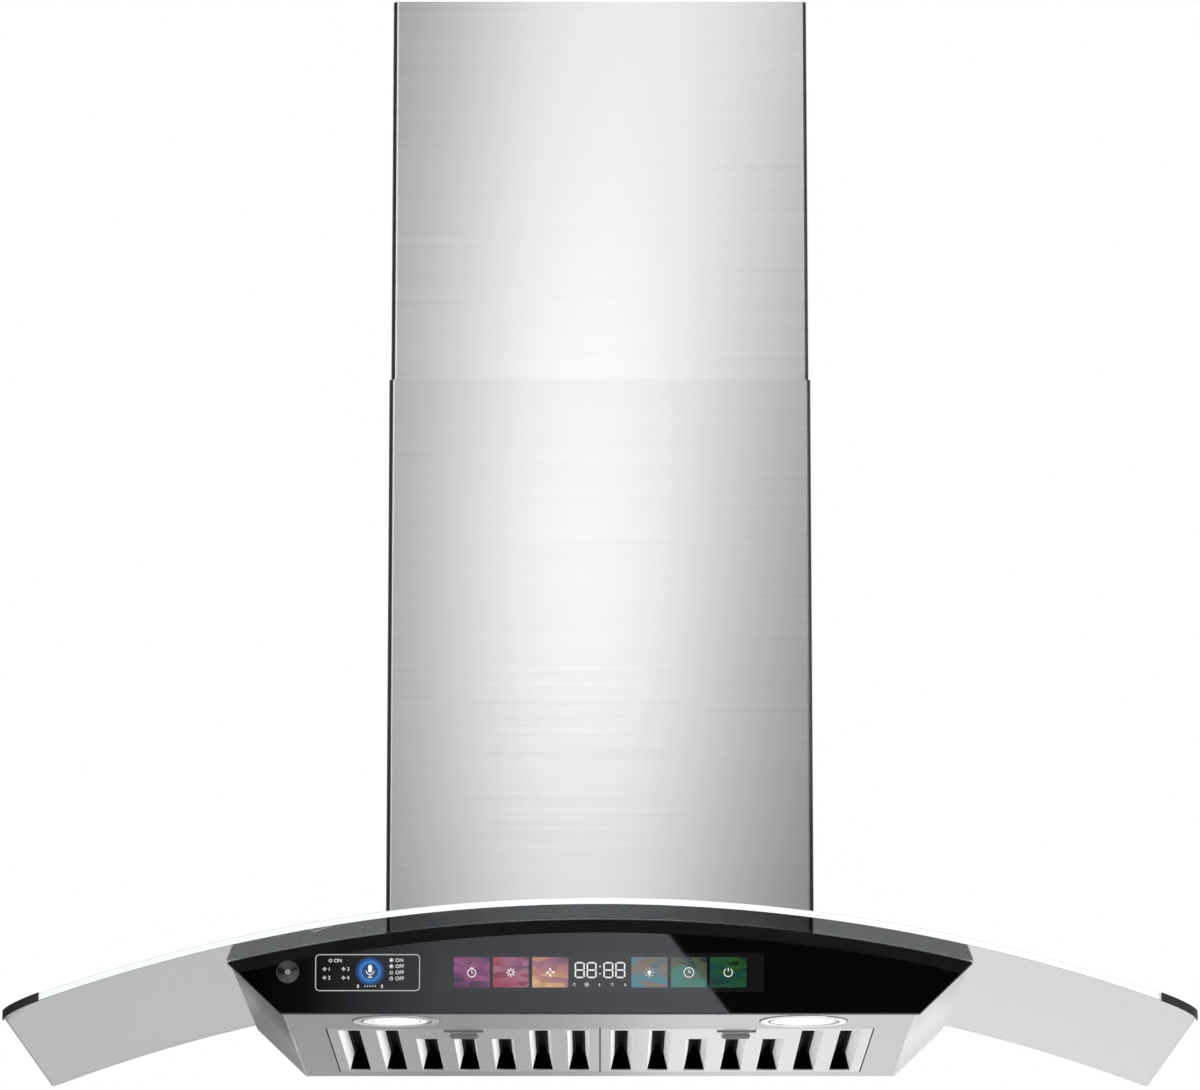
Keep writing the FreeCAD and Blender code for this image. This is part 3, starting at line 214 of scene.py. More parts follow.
STRIP_ROLL = math.radians(-8)
area_lamp("strip_lamp", (0.04, -2.0, 0.95), (0.01, -0.29, 0.15), size=(0.36, 1.7), power=2.9, roll=STRIP_ROLL)
area_lamp("short_strip_lamp", (-0.02, -2.0, 0.29), (0.0, -0.29, -0.1), size=(0.2, 0.44), power=0.78)
area_lamp("fill_lamp", (-0.05, -2.6, 1.45), (0.0, -0.29, 0.2), size=(1.6, 1.6), power=1.2)
area_lamp("left_edge_lamp", (-0.95, -2.2, 0.75), (-0.17, -0.29, 0.3), size=(0.9, 1.8), power=9.0)
area_lamp("right_edge_lamp", (0.95, -2.2, 1.2), (0.17, -0.29, 0.6), size=(0.9, 1.0), power=5.0)
area_lamp("top_lamp", (0.3, -0.6, 2.6), (0.0, -0.3, 0.0), size=(1.8, 1.8), power=22.0)
area_lamp("low_lamp", (1.3, -0.9, -1.35), (0.0, -0.2, -0.3), size=(0.9, 0.9), power=26.0)


# %% Reflecting cards
def studio_card(name, corners, glow, tint=(1.0, 1.0, 1.0)):
    """A flat card that only reflections meet; glow is a list of (x, strength) along the card's width."""
    mesh = bpy.data.meshes.new(name)
    mesh.from_pydata(corners, [], [tuple(range(len(corners)))])
    card = add_object(name, mesh)
    material = bpy.data.materials.new(name)
    material.use_nodes = True
    tree = material.node_tree
    tree.nodes.clear()
    across = add_node(tree, "ShaderNodeSeparateXYZ", {0: shaded_spot(tree)}).outputs["X"]
    low, high = glow[0][0], glow[-1][0]
    share = add_node(tree, "ShaderNodeMapRange", {"Value": across, "From Min": low, "From Max": high})
    top = max(strength for _, strength in glow)
    stops = [((x - low) / (high - low), grey(strength / top)) for x, strength in glow]
    ramp = colour_ramp(tree, share.outputs["Result"], stops)
    tinted = add_node(tree, "ShaderNodeVectorMath", {0: ramp, 1: tint}, operation="MULTIPLY")
    shine = add_node(tree, "ShaderNodeEmission", {"Color": tinted.outputs[0], "Strength": top})
    add_node(tree, "ShaderNodeOutputMaterial", {"Surface": shine.outputs[0]})
    mesh.materials.append(material)
    card.visible_camera = card.visible_shadow = card.visible_diffuse = card.visible_transmission = False


def upright(left, right, depth, low, high):
    """Corners of an upright rectangle at one depth."""
    return ((left, depth, low), (right, depth, low), (right, depth, high), (left, depth, high))


SHEEN_CARD = ((-0.55, -3.4, -0.1), (0.3, -3.4, -0.1), (-0.005, -3.4, 0.3), (-0.55, -3.4, 0.3))
SHEEN = ((-0.55, 0.0), (-0.42, 0.02), (-0.36, 0.1), (-0.2, 1.25), (-0.05, 1.6), (0.05, 1.9), (0.3, 2.1))
REAR_GLOW = ((-2.5, 0.4), (-0.15, 0.42), (-0.05, 0.5), (0.0, 0.68), (0.07, 1.2), (0.45, 1.06), (2.5, 1.06))
WING_GLOW = ((-0.48, 0.68), (-0.22, 0.7), (-0.17, 0.48), (0.0, 0.68), (0.07, 1.2), (0.3, 1.1), (0.9, 1.1))
FLAG_GLOW = ((-2.5, 0.1), (-0.42, 0.2))
studio_card("sheen_card", SHEEN_CARD, SHEEN, tint=(0.92, 0.97, 1.08))
studio_card("rear_card", upright(-2.5, 2.5, 1.2, -1.7, 0.2), REAR_GLOW)
studio_card("wing_card", upright(-0.48, 0.9, 1.15, -0.56, -0.31), WING_GLOW)
studio_card("left_flag", upright(-2.5, -0.42, 1.18, -0.7, 1.2), FLAG_GLOW)

# %% Floor
FLOOR_HEIGHT = -1.75
FLOOR_CORNERS = [(x, y, FLOOR_HEIGHT) for x, y in ((-4, -7), (4, -7), (4, 4), (-4, 4))]
floor_mesh = bpy.data.meshes.new("floor")
floor_mesh.from_pydata(FLOOR_CORNERS, [], [(0, 1, 2, 3)])
floor = add_object("floor", floor_mesh)
floor_paint = bpy.data.materials.new("pale_floor")
floor_paint.use_nodes = True
paint_inputs = floor_paint.node_tree.nodes["Principled BSDF"].inputs
paint_inputs["Base Color"].default_value = grey(0.82)
paint_inputs["Roughness"].default_value = 0.9
floor_mesh.materials.append(floor_paint)
print("floor at", FLOOR_HEIGHT)

# %% [markdown]
# ## Brushed grain, shared by every steel sheet
# Sheet steel is finished with an abrasive belt, which leaves fine parallel lines. They could be a picture,
# but a noise that is stretched hundreds of times along the belt's direction gives the same lines at any
# size, on every sheet alike. The group hands out a tone for the colour and the roughness, and a height for
# the bump.


# %% Brushed grain group
def shader_group(name, inputs, outputs):
    group = bpy.data.node_groups.new(name, "ShaderNodeTree")
    for label, kind, value in inputs:
        group.interface.new_socket(label, in_out="INPUT", socket_type=kind).default_value = value
    for label in outputs:
        group.interface.new_socket(label, in_out="OUTPUT", socket_type="NodeSocketFloat")
    return group, group.nodes.new("NodeGroupInput"), group.nodes.new("NodeGroupOutput")


grain_group, entry, leave = shader_group(
    "brushed_grain", [("Stretch", "NodeSocketVector", (3, 3, 900))], ["Tone", "Height"]
)
spot, stretch = shaded_spot(grain_group), entry.outputs["Stretch"]
drawn = add_node(grain_group, "ShaderNodeVectorMath", {0: spot, 1: stretch}, operation="MULTIPLY").outputs[0]
lines = add_node(grain_group, "ShaderNodeTexNoise", {"Vector": drawn, "Scale": 1.0, "Detail": 4.0})
broad = add_node(grain_group, "ShaderNodeTexNoise", {"Vector": drawn, "Scale": 0.12, "Detail": 2.0})
BROAD_SHARE = 0.35
both = add_node(grain_group, "ShaderNodeMix", {
    0: BROAD_SHARE, 2: lines.outputs[0], 3: broad.outputs[0],
}, data_type="FLOAT")
grain_group.links.new(both.outputs[0], leave.inputs["Tone"])
grain_group.links.new(lines.outputs[0], leave.inputs["Height"])
print("group", grain_group.name, "has", len(grain_group.nodes), "nodes")

# %% [markdown]
# ## Smudges and moulded texture
# Handled surfaces are never equally clean, and moulded plastic has a fine spark-eroded texture. Both are
# soft noises that several finishes need, so they are one group as well: a slow noise for the smudges and a
# fine one for the texture, each with a size to set.

# %% Surface wear group
wear_group, entry, leave = shader_group(
    "surface_wear",
    [("Smudge Scale", "NodeSocketFloat", 9.0), ("Texture Scale", "NodeSocketFloat", 900.0)],
    ["Smudge", "Texture"],
)
spot = shaded_spot(wear_group)
for label, detail in (("Smudge", 5.0), ("Texture", 2.0)):
    scale = entry.outputs[label + " Scale"]
    noise = add_node(wear_group, "ShaderNodeTexNoise", {"Vector": spot, "Scale": scale, "Detail": detail})
    wear_group.links.new(noise.outputs[0], leave.inputs[label])
print("group", wear_group.name, "has", len(wear_group.nodes), "nodes")

# %% [markdown]
# ## The finishes
# Each finish starts from the Principled shader. What is the same all over a surface is set on the shader
# itself, and only what varies comes from nodes. Steel reflects its surroundings in a lobe that is drawn out
# across the brushing, which anisotropy gives, with the tangent running round the upright axis.


# %% Finish helpers
def new_finish(name, **constants):
    material = bpy.data.materials.new(name)
    material.use_nodes = True
    shader = material.node_tree.nodes["Principled BSDF"]
    for label, value in constants.items():
        shader.inputs[label.replace("_", " ")].default_value = value
    return material, material.node_tree, shader


def add_group(tree, group, **inputs):
    made = add_node(tree, "ShaderNodeGroup", node_tree=group)
    for label, value in inputs.items():
        made.inputs[label.replace("_", " ")].default_value = value
    return made.outputs


def add_bump(tree, shader, height, strength, distance):
    bump = add_node(tree, "ShaderNodeBump", {"Strength": strength, "Distance": distance, "Height": height})
    tree.links.new(bump.outputs["Normal"], shader.inputs["Normal"])


def vary(tree, shader, level, colours=None, rough=None):
    """Let a 0 to 1 level move the colour, the roughness or both between two values."""
    if colours:
        tree.links.new(mix_colour(tree, level, *colours), shader.inputs["Base Color"])
    if rough:
        tree.links.new(remap(tree, level, *rough), shader.inputs["Roughness"])


def smudge_over(tree, shader, scale, colours=None, rough=None):
    """Vary a finish by the slow smudge noise."""
    vary(tree, shader, add_group(tree, wear_group, Smudge_Scale=scale)["Smudge"], colours, rough)


print("finish helpers ready")

# %% Brushed steel
BRUSHED, PLAIN = 0.85, 0.0
QUARTER_TURN = 0.25


def steel_finish(name, dark, light, rough, stretch, anisotropic=PLAIN, bump=0.12):
    material, tree, shader = new_finish(
        name, Metallic=1.0, Anisotropic=anisotropic, Anisotropic_Rotation=QUARTER_TURN
    )
    grain = add_group(tree, grain_group, Stretch=stretch)
    vary(tree, shader, grain["Tone"], (grey(dark), grey(light)), rough)
    add_bump(tree, shader, grain["Height"], bump, 0.0002)
    tangent = add_node(tree, "ShaderNodeTangent", direction_type="RADIAL", axis="Z")
    tree.links.new(tangent.outputs[0], shader.inputs["Tangent"])
    return material


sheet_steel = steel_finish("brushed_steel", 0.52, 0.68, (0.24, 0.36), (3, 3, 900), BRUSHED)
lower_steel = steel_finish("brushed_steel_lower", 0.49, 0.64, (0.24, 0.36), (3, 3, 900), BRUSHED)
under_steel = steel_finish("brushed_steel_underside", 0.37, 0.47, (0.26, 0.38), (3, 900, 30))
filter_steel = steel_finish("filter_steel", 0.52, 0.64, (0.24, 0.34), (30, 900, 30), bump=0.06)
trim_steel = steel_finish("polished_steel", 0.66, 0.74, (0.08, 0.16), (400, 400, 30), bump=0.03)
print("steel finishes:", [m.name for m in bpy.data.materials if "steel" in m.name])


# %% Galvanised sheet, aluminium and dark metal
def spangled_finish(name, dark, light, rough, scale):
    """Zinc freezes in flat crystals, each a little lighter or darker than the next."""
    material, tree, shader = new_finish(name, Metallic=1.0)
    crystals = add_node(tree, "ShaderNodeTexVoronoi", {"Vector": shaded_spot(tree), "Scale": scale})
    level = add_node(tree, "ShaderNodeSeparateColor", {0: crystals.outputs["Color"]}).outputs[0]
    vary(tree, shader, level, (grey(dark), grey(light)), rough)
    wear = add_group(tree, wear_group)
    add_bump(tree, shader, wear["Smudge"], 0.05, 0.001)
    return material


galvanised = spangled_finish("galvanised_steel", 0.46, 0.62, (0.34, 0.5), 110.0)
spun_aluminium = steel_finish("aluminium", 0.62, 0.74, (0.28, 0.4), (60, 60, 900))
dark_metal = steel_finish("dark_metal", 0.07, 0.13, (0.22, 0.34), (40, 40, 500))
print("zinc, aluminium and dark metal made")


# %% Plastics and rubber
def moulded_finish(name, dark, light, rough, texture_scale, bump, specular=0.5):
    material, tree, shader = new_finish(name, Specular_IOR_Level=specular)
    wear = add_group(tree, wear_group, Texture_Scale=texture_scale)
    vary(tree, shader, wear["Smudge"], (grey(dark), grey(light)), rough)
    add_bump(tree, shader, wear["Texture"], bump, 0.0003)
    return material


black_plastic = moulded_finish("black_plastic", 0.016, 0.03, (0.36, 0.52), 1400.0, 0.2)
black_rubber = moulded_finish("black_rubber", 0.01, 0.02, (0.55, 0.75), 700.0, 0.25)
white_plastic = moulded_finish("white_plastic", 0.72, 0.8, (0.35, 0.45), 1200.0, 0.1)
print("plastics and rubber made")

# %% [markdown]
# ## Glass
# The canopy is a thick sheet of toughened glass. Seen along its underside it works nearly as a mirror and
# looks grey. A transmitting shader with a grey tint gives both. Its ground and polished rim scatters light
# and looks white, so it is a finish of its own. The fascia is opaque black glass, and a slow smudge noise
# keeps its gloss from being perfect.

# %% Glass finishes
GLASS_INDEX = 1.5
GLASS_TINT = (0.34, 0.354, 0.362, 1)
RIM_COLOURS = ((0.86, 0.9, 0.9, 1), (0.96, 0.98, 0.98, 1))
canopy_glass, tree, shader = new_finish(
    "clear_glass", Metallic=0.0, Transmission_Weight=1.0, IOR=GLASS_INDEX, Base_Color=GLASS_TINT
)
smudge_over(tree, shader, 5.0, rough=(0.0, 0.05))

glass_rim, tree, shader = new_finish("polished_glass_rim", Metallic=0.0, IOR=GLASS_INDEX)
smudge_over(tree, shader, 40.0, RIM_COLOURS, (0.12, 0.3))

black_glass, tree, shader = new_finish("black_glass", Metallic=0.0, IOR=GLASS_INDEX)
smudge_over(tree, shader, 14.0, (grey(0.0004), grey(0.0012)), (0.0, 0.03))
print("glass finishes made")

# %% [markdown]
# ## The lamp lens
# Each lamp is a flat frosted lens over a ring of diodes. Its light is strongest in the middle and falls off
# to the rim. The distance from the lens's own middle could come from a UV map, but both lenses lie at the
# same distance from the centre line, so the size of x and the depth y give it straight from the object's
# coordinates.

# %% Lamp lens finish
lens_low, lens_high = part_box("lamp_lens_right")
lens_centre = (lens_low + lens_high) / 2
LENS_RADIUS = (lens_high.x - lens_low.x) / 2
lamp_lens, tree, shader = new_finish("lamp_lens", Roughness=0.35, Emission_Strength=2.2)
mirrored = add_node(tree, "ShaderNodeVectorMath", {0: shaded_spot(tree)}, operation="ABSOLUTE").outputs[0]
reach = distance_between(tree, mirrored, (lens_centre.x, -lens_centre.y, -lens_centre.z))
share = add_node(tree, "ShaderNodeMath", {0: reach, 1: LENS_RADIUS}, operation="DIVIDE").outputs[0]


def cool_white(level):
    return (level * 0.96, level * 0.98, level, 1)


LENS_MIDDLE, LENS_RIM = grey(1.0), (0.22, 0.23, 0.25, 1)
LENS_LEVELS = ((0.55, 1.0), (0.7, 0.5), (0.77, 0.08), (0.82, 0.3))
rings = [(place, cool_white(level)) for place, level in LENS_LEVELS]
glow = colour_ramp(tree, share, [(0.0, LENS_MIDDLE), *rings, (1.0, LENS_RIM)])
tree.links.new(glow, shader.inputs["Emission Color"])
tree.links.new(glow, shader.inputs["Base Color"])
print("lens radius", round(LENS_RADIUS, 4), "centre", tuple(round(v, 4) for v in lens_centre))

# %% [markdown]
# ## Dress the solids
# Every solid of the frame shows until another piece stands for it, inside and out. Each gets its finish
# through its material slot, which leaves its shape alone.

# %% Finishes for the solids
FINISH_OF_SLOT = {
    "brushed_steel": sheet_steel,
    "filter_steel": filter_steel,
    "polished_steel": trim_steel,
    "galvanised_steel": galvanised,
    "clear_glass": canopy_glass,
    "black_glass": black_glass,
    "black_rubber": black_rubber,
    "black_plastic": black_plastic,
    "white_plastic": white_plastic,
    "lamp_lens": lamp_lens,
    "aluminium": spun_aluminium,
    "dark_metal": dark_metal,
}
for name, solid in frame["nodes"].items():
    for place_in_list, old in enumerate(solid.data.materials):
        solid.data.materials[place_in_list] = FINISH_OF_SLOT[old.name.split(".")[0]]
sensor_metal = steel_finish("sensor_metal", 0.09, 0.15, (0.2, 0.3), (200, 40, 200), bump=0.05)
sensor_dome = moulded_finish("sensor_dome", 0.3, 0.42, (0.12, 0.2), 500.0, 0.02)
OWN_FINISH = {
    "bottom_panel": under_steel,
    "lower_chimney": lower_steel,
    "sensor_bezel": sensor_metal,
    "sensor_lens": sensor_dome,
}
for name, finish in OWN_FINISH.items():
    frame["nodes"][name].data.materials[0] = finish
print("dressed", len(frame["nodes"]), "solids")

# %% [markdown]
# ## Faces that differ from the rest of their solid
# The walls of a filter's slots are pressed out of the sheet. Their pale, nearly white finish is a painted
# highlight for the light they catch. The air space above them, in the filters and in the body, is lined with
# black that takes no shine: painted shade. The ground edges of the black fascia take no shine either. These
# faces could be pieces of their own, but a second finish on the solid's faces, picked by the way they face,
# leaves every shape as it is.


# %% Slot walls with a painted highlight, air space with painted shade
def dress_faces(node, finish, choose):
    """Give the faces of one solid that choose() picks a finish of their own."""
    mesh = frame["nodes"][node].data
    mesh.materials.append(finish)
    picked = [face for face in mesh.polygons if choose(face)]
    for face in picked:
        face.material_index = len(mesh.materials) - 1
    return len(picked)


BODY_BOTTOM = -0.3
ABOVE_FILTER_SHEET = BODY_BOTTOM + 0.002
ABOVE_BODY_SHEET = BODY_BOTTOM + 0.004
UNDER_GLASS = -0.2
# Pale, nearly white and barely metallic: a painted highlight on the slot walls.
pressed_steel, tree, shader = new_finish("pickled_steel", Metallic=0.1, Specular_IOR_Level=0.2)
smudge_over(tree, shader, 30.0, (grey(0.86), grey(0.95)), (0.5, 0.65))
# Black with no shine, for the faces in the air space of the filters and the body: painted shade.
dark_lining = moulded_finish("dark_lining", 0.004, 0.009, (0.8, 0.95), 900.0, 0.3, specular=0.1)


def is_slot_wall(face):
    return abs(face.normal.x) > 0.5 and face.normal.z < -0.05


def is_inside_filter(face):
    return face.center.z > ABOVE_FILTER_SHEET and face.material_index == 0 and face.normal.z < 0.5


def is_inside_body(face):
    inward = face.normal.z < -0.9 or face.normal.x * face.center.x < 0 or face.normal.y > 0.5
    return face.center.z > ABOVE_BODY_SHEET and inward


for side in ("left", "right"):
    walls = dress_faces(f"filter_frame_{side}", pressed_steel, is_slot_wall)
    backs = dress_faces(f"filter_frame_{side}", dark_lining, is_inside_filter)
    backs += dress_faces(f"filter_baffles_{side}", dark_lining, lambda face: face.normal.z < 0.5)
    print(side, "filter:", walls, "pressed faces,", backs, "inner faces")
# The inner faces of the body take the same painted shade.
lined = dress_faces("canopy_shell", dark_lining, is_inside_body)
lined += dress_faces(
    "back_panel", dark_lining, lambda face: face.normal.y < -0.5 and face.center.z < UNDER_GLASS
)
lined += dress_faces("bottom_panel", dark_lining, lambda face: face.normal.z > 0.5)
print("dark faces of the body:", lined)

# %% Ground edges of the fascia
ground_edge = moulded_finish("ground_black_edge", 0.003, 0.007, (0.7, 0.9), 1200.0, 0.1, specular=0.1)
edges = dress_faces("fascia_glass", ground_edge, lambda face: abs(face.normal.y) < 0.5)
print("ground edges of the fascia:", edges)

# %% [markdown]
# ## The bent glass
# The canopy is cut flat with rounded front corners and a notch for the chimney, then bent over a former to
# one radius. The mesh is made in the same order: a flat outline, cut across into narrow strips so that it
# can bend, then a geometry tree that lifts every point on the arch. Solidify gives the thickness, with the
# rim in its own finish, and a fine bevel breaks the edges as a glass works does.

# %% Glass sizes
glass_low, glass_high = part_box("glass_canopy")
GLASS_THICK = 0.005
GLASS_HALF = glass_high.x
glass_crown = glass_high.z - GLASS_THICK
glass_sag = glass_crown - glass_low.z
GLASS_RADIUS = (GLASS_HALF**2 + glass_sag**2) / (2 * glass_sag)
FRONT_CORNER, REAR_CORNER, BROKEN_EDGE = 0.028, 0.008, 0.0006
SHARP_EDGE = math.radians(50)
NOTCH_HALF, NOTCH_FRONT = 0.1515, -0.2695
print("glass bend radius", round(GLASS_RADIUS, 4), "crown", round(glass_crown, 4))


# %% Flat glass outline
def arc_points(centre, radius, first, last, steps):
    turn = math.radians(last - first) / steps
    start = math.radians(first)
    return [
        (centre[0] + radius * math.cos(start + turn * i), centre[1] + radius * math.sin(start + turn * i))
        for i in range(steps + 1)
    ]


def glass_outline():
    front, rear, half = glass_low.y, glass_high.y, GLASS_HALF
    points = arc_points((half - FRONT_CORNER, front + FRONT_CORNER), FRONT_CORNER, -90, 0, 12)
    points += arc_points((half - REAR_CORNER, rear - REAR_CORNER), REAR_CORNER, 0, 90, 6)
    points += [(NOTCH_HALF, rear), (NOTCH_HALF, NOTCH_FRONT), (-NOTCH_HALF, NOTCH_FRONT), (-NOTCH_HALF, rear)]
    points += arc_points((-half + REAR_CORNER, rear - REAR_CORNER), REAR_CORNER, 90, 180, 6)
    points += arc_points((-half + FRONT_CORNER, front + FRONT_CORNER), FRONT_CORNER, 180, 270, 12)
    return points


STRIPS = 90
sheet = bmesh.new()
sheet.faces.new([sheet.verts.new((x, y, 0)) for x, y in glass_outline()])
for i in range(1, STRIPS):
    cut = -GLASS_HALF + 2 * GLASS_HALF * i / STRIPS
    everything = sheet.verts[:] + sheet.edges[:] + sheet.faces[:]
    bmesh.ops.bisect_plane(sheet, geom=everything, plane_co=(cut, 0, 0), plane_no=(1, 0, 0))
flat_glass = bpy.data.meshes.new("flat_glass")
sheet.to_mesh(flat_glass)
sheet.free()
print("flat glass has", len(flat_glass.polygons), "strips")

# %% Helpers for geometry trees
FLOAT, WHOLE = "NodeSocketFloat", "NodeSocketInt"
VECTOR, MATERIAL = "NodeSocketVector", "NodeSocketMaterial"


def geometry_tree(name, inputs):
    tree = bpy.data.node_groups.new(name, "GeometryNodeTree")
    tree.interface.new_socket("Geometry", in_out="INPUT", socket_type="NodeSocketGeometry")
    for label, kind in inputs.items():
        tree.interface.new_socket(label, in_out="INPUT", socket_type=kind)
    tree.interface.new_socket("Geometry", in_out="OUTPUT", socket_type="NodeSocketGeometry")
    return tree, tree.nodes.new("NodeGroupInput").outputs, tree.nodes.new("NodeGroupOutput").inputs


def finish_tree(tree, geometry, material, leave):
    """Every tree ends alike: real geometry, then its finish."""
    real = add_node(tree, "GeometryNodeRealizeInstances", {0: geometry})
    dressed = add_node(tree, "GeometryNodeSetMaterial", {"Geometry": real.outputs[0], "Material": material})
    tree.links.new(dressed.outputs[0], leave[0])


def math_node(tree, operation, first, second=0.0):
    return add_node(tree, "ShaderNodeMath", {0: first, 1: second}, operation=operation).outputs[0]


def vector_of(tree, x=0.0, y=0.0, z=0.0):
    return add_node(tree, "ShaderNodeCombineXYZ", {0: x, 1: y, 2: z}).outputs[0]


print("geometry tree helpers ready")

# %% Geometry tree that bends a flat sheet
bend_tree, entry, leave = geometry_tree("bend_sheet", {"Radius": FLOAT, "Crown": FLOAT, "Material": MATERIAL})
spot = add_node(bend_tree, "GeometryNodeInputPosition").outputs[0]
parts = add_node(bend_tree, "ShaderNodeSeparateXYZ", {0: spot}).outputs
radius_squared = math_node(bend_tree, "POWER", entry["Radius"], 2.0)
across_squared = math_node(bend_tree, "MULTIPLY", parts["X"], parts["X"])
squared = math_node(bend_tree, "SUBTRACT", radius_squared, across_squared)
drop = math_node(bend_tree, "SUBTRACT", math_node(bend_tree, "SQRT", squared), entry["Radius"])
height = math_node(bend_tree, "ADD", drop, entry["Crown"])
lifted = vector_of(bend_tree, parts["X"], parts["Y"], height)
bent = add_node(bend_tree, "GeometryNodeSetPosition", {"Geometry": entry["Geometry"], "Position": lifted})
finish_tree(bend_tree, bent.outputs[0], entry["Material"], leave)
print("tree", bend_tree.name, "has", len(bend_tree.nodes), "nodes")


# %% Run a geometry tree and keep its mesh
def run_tree(name, tree, values, mesh=None, more_modifiers=None):
    """Make a plain mesh object from a tree; values are named as the tree's inputs are."""
    worker = add_object(name + "_worker", mesh or bpy.data.meshes.new(name + "_start"))
    modifier = worker.modifiers.new("tree", "NODES")
    modifier.node_group = tree
    sockets = {s.name: s.identifier for s in tree.interface.items_tree if s.in_out == "INPUT"}
    for label, value in values.items():
        modifier[sockets[label]] = value
    if more_modifiers:
        more_modifiers(worker)
    evaluated = worker.evaluated_get(bpy.context.evaluated_depsgraph_get())
    made = bpy.data.meshes.new_from_object(evaluated)
    made.name = name
    bpy.data.objects.remove(worker)
    return add_object(name, made)


def thicken_and_polish(worker):
    solid = worker.modifiers.new("thickness", "SOLIDIFY")
    solid.thickness = GLASS_THICK
    solid.offset = 1.0
    solid.material_offset_rim = 1
    worker.data.materials.append(canopy_glass)
    worker.data.materials.append(glass_rim)
    edge = worker.modifiers.new("broken_edges", "BEVEL")
    edge.width = BROKEN_EDGE
    edge.segments = 2
    edge.limit_method = "ANGLE"
    edge.angle_limit = SHARP_EDGE


def shade(piece, angle):
    """Shade smoothly, but keep the edges that bend by more than an angle in degrees."""
    piece.data.polygons.foreach_set("use_smooth", [True] * len(piece.data.polygons))
    piece.data.set_sharp_from_angle(angle=math.radians(angle))


bent_glass = run_tree(
    "bent_glass", bend_tree, {"Radius": GLASS_RADIUS, "Crown": glass_crown, "Material": canopy_glass},
    flat_glass, thicken_and_polish,
)
shade(bent_glass, 20)
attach(bent_glass, "hood")
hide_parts("glass_canopy")
print("bent glass:", len(bent_glass.data.polygons), "faces,", [m.name for m in bent_glass.data.materials])

# %% [markdown]
# ## Turned lamp trims
# The trim round each lamp is turned steel: a flat ring with a broken outer edge, a fine groove whose faces
# take the black rubber finish as painted shade, and a slope down to the lens. A cylinder would miss the
# groove, so its section is drawn once and spun round the lamp's axis. A thin seal lies between the ring and
# the panel, and shows as the dark line round the lamp.


# %% Spin a section
def closed_piece(name, work, finishes):
    """Make an object of a closed bmesh, its faces turned outwards."""
    bmesh.ops.recalc_face_normals(work, faces=work.faces)
    mesh = bpy.data.meshes.new(name)
    work.to_mesh(mesh)
    work.free()
    for finish in finishes:
        mesh.materials.append(finish)
    return add_object(name, mesh)


def spun(name, centre, section, finishes, finish_of=None, steps=72):
    """Spin a closed section of (radius, height) points, in millimetres, round an upright axis."""
    work = bmesh.new()
    x, y, base = centre
    rounds = []
    for i in range(steps):
        angle = math.tau * i / steps
        across, along = math.cos(angle) / 1000, math.sin(angle) / 1000
        rounds.append([
            work.verts.new((x + r * across, y + r * along, base + z / 1000)) for r, z in section
        ])
    for i in range(steps):
        here, after = rounds[i], rounds[(i + 1) % steps]
        for j in range(len(section)):
            k = (j + 1) % len(section)
            face = work.faces.new((here[j], after[j], after[k], here[k]))
            face.material_index = finish_of(j) if finish_of else 0
    piece = closed_piece(name, work, finishes)
    shade(piece, 30)
    return piece


TRIM_SECTION = [
    (33.4, 0.0), (33.4, -0.35), (33.1, -0.7), (32.6, -0.8), (27.6, -0.8),
    (27.3, -0.6), (27.2, -0.1), (26.4, -0.1), (26.3, -0.6), (26.0, -0.8),
    (25.3, -0.8), (24.6, -0.1), (24.6, 5.9), (27.4, 5.9), (27.4, 0.0),
]
# The groove's faces take the black rubber finish: painted shade in the groove.
GROOVE = (5, 6, 7)
SEAL_SECTION = [(33.45, 0.0), (33.45, -0.3), (34.15, -0.2), (34.25, 0.0)]
for side, sign in (("left", -1), ("right", 1)):
    centre = (sign * lens_centre.x, lens_centre.y, BODY_BOTTOM)
    finishes = [trim_steel, black_rubber]
    trim = spun(f"turned_trim_{side}", centre, TRIM_SECTION, finishes, lambda j: 1 if j in GROOVE else 0)
    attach(trim, "hood")
    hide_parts(f"lamp_trim_{side}")
    seal = spun(f"lamp_seal_{side}", centre, SEAL_SECTION, [black_rubber])
    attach(seal, "hood")
    print(side, "trim:", len(trim.data.polygons), "faces")

# %% [markdown]
# ## Drawing on the black fascia
# The display and the voice panel lie behind the black glass and show only where they are lit. They could be
# one picture, but small flat shapes stay sharp at any distance. Every shape is drawn in millimetres, with x
# from the middle and h up from the body's lower edge, and becomes a wafer that stands off the glass by a
# quarter of a millimetre at most.


# %% Flat shapes
FASCIA_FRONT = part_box("fascia_glass")[0].y


def bar(left, low, right, high):
    return [[(left, low), (right, low), (right, high), (left, high)]]


def rounded_bar(left, low, right, high, corner, steps=5):
    outline = arc_points((right - corner, low + corner), corner, -90, 0, steps)
    outline += arc_points((right - corner, high - corner), corner, 0, 90, steps)
    outline += arc_points((left + corner, high - corner), corner, 90, 180, steps)
    outline += arc_points((left + corner, low + corner), corner, 180, 270, steps)
    return [outline]


def disc(x, h, radius, steps=28):
    return [arc_points((x, h), radius, 0, 360, steps)[:-1]]


def line(points, width, closed=False):
    """A ribbon of even width along some points."""
    count = len(points)
    sides = []
    for i, point in enumerate(points):
        before = points[i - 1] if closed or i else point
        after = points[(i + 1) % count] if closed or i < count - 1 else point
        along = (Vector(after) - Vector(before)).normalized()
        across = Vector((-along.y, along.x)) * width / 2
        sides.append((tuple(Vector(point) + across), tuple(Vector(point) - across)))
    pairs = zip(sides, sides[1:] + sides[:1]) if closed else zip(sides, sides[1:])
    return [[a[1], b[1], b[0], a[0]] for a, b in pairs]


def ring(x, h, radius, width, first=0, last=360, steps=36):
    points = arc_points((x, h), radius, first, last, steps)
    closed = last - first == 360
    return line(points[:-1] if closed else points, width, closed)


print("fascia front at", round(FASCIA_FRONT, 4))


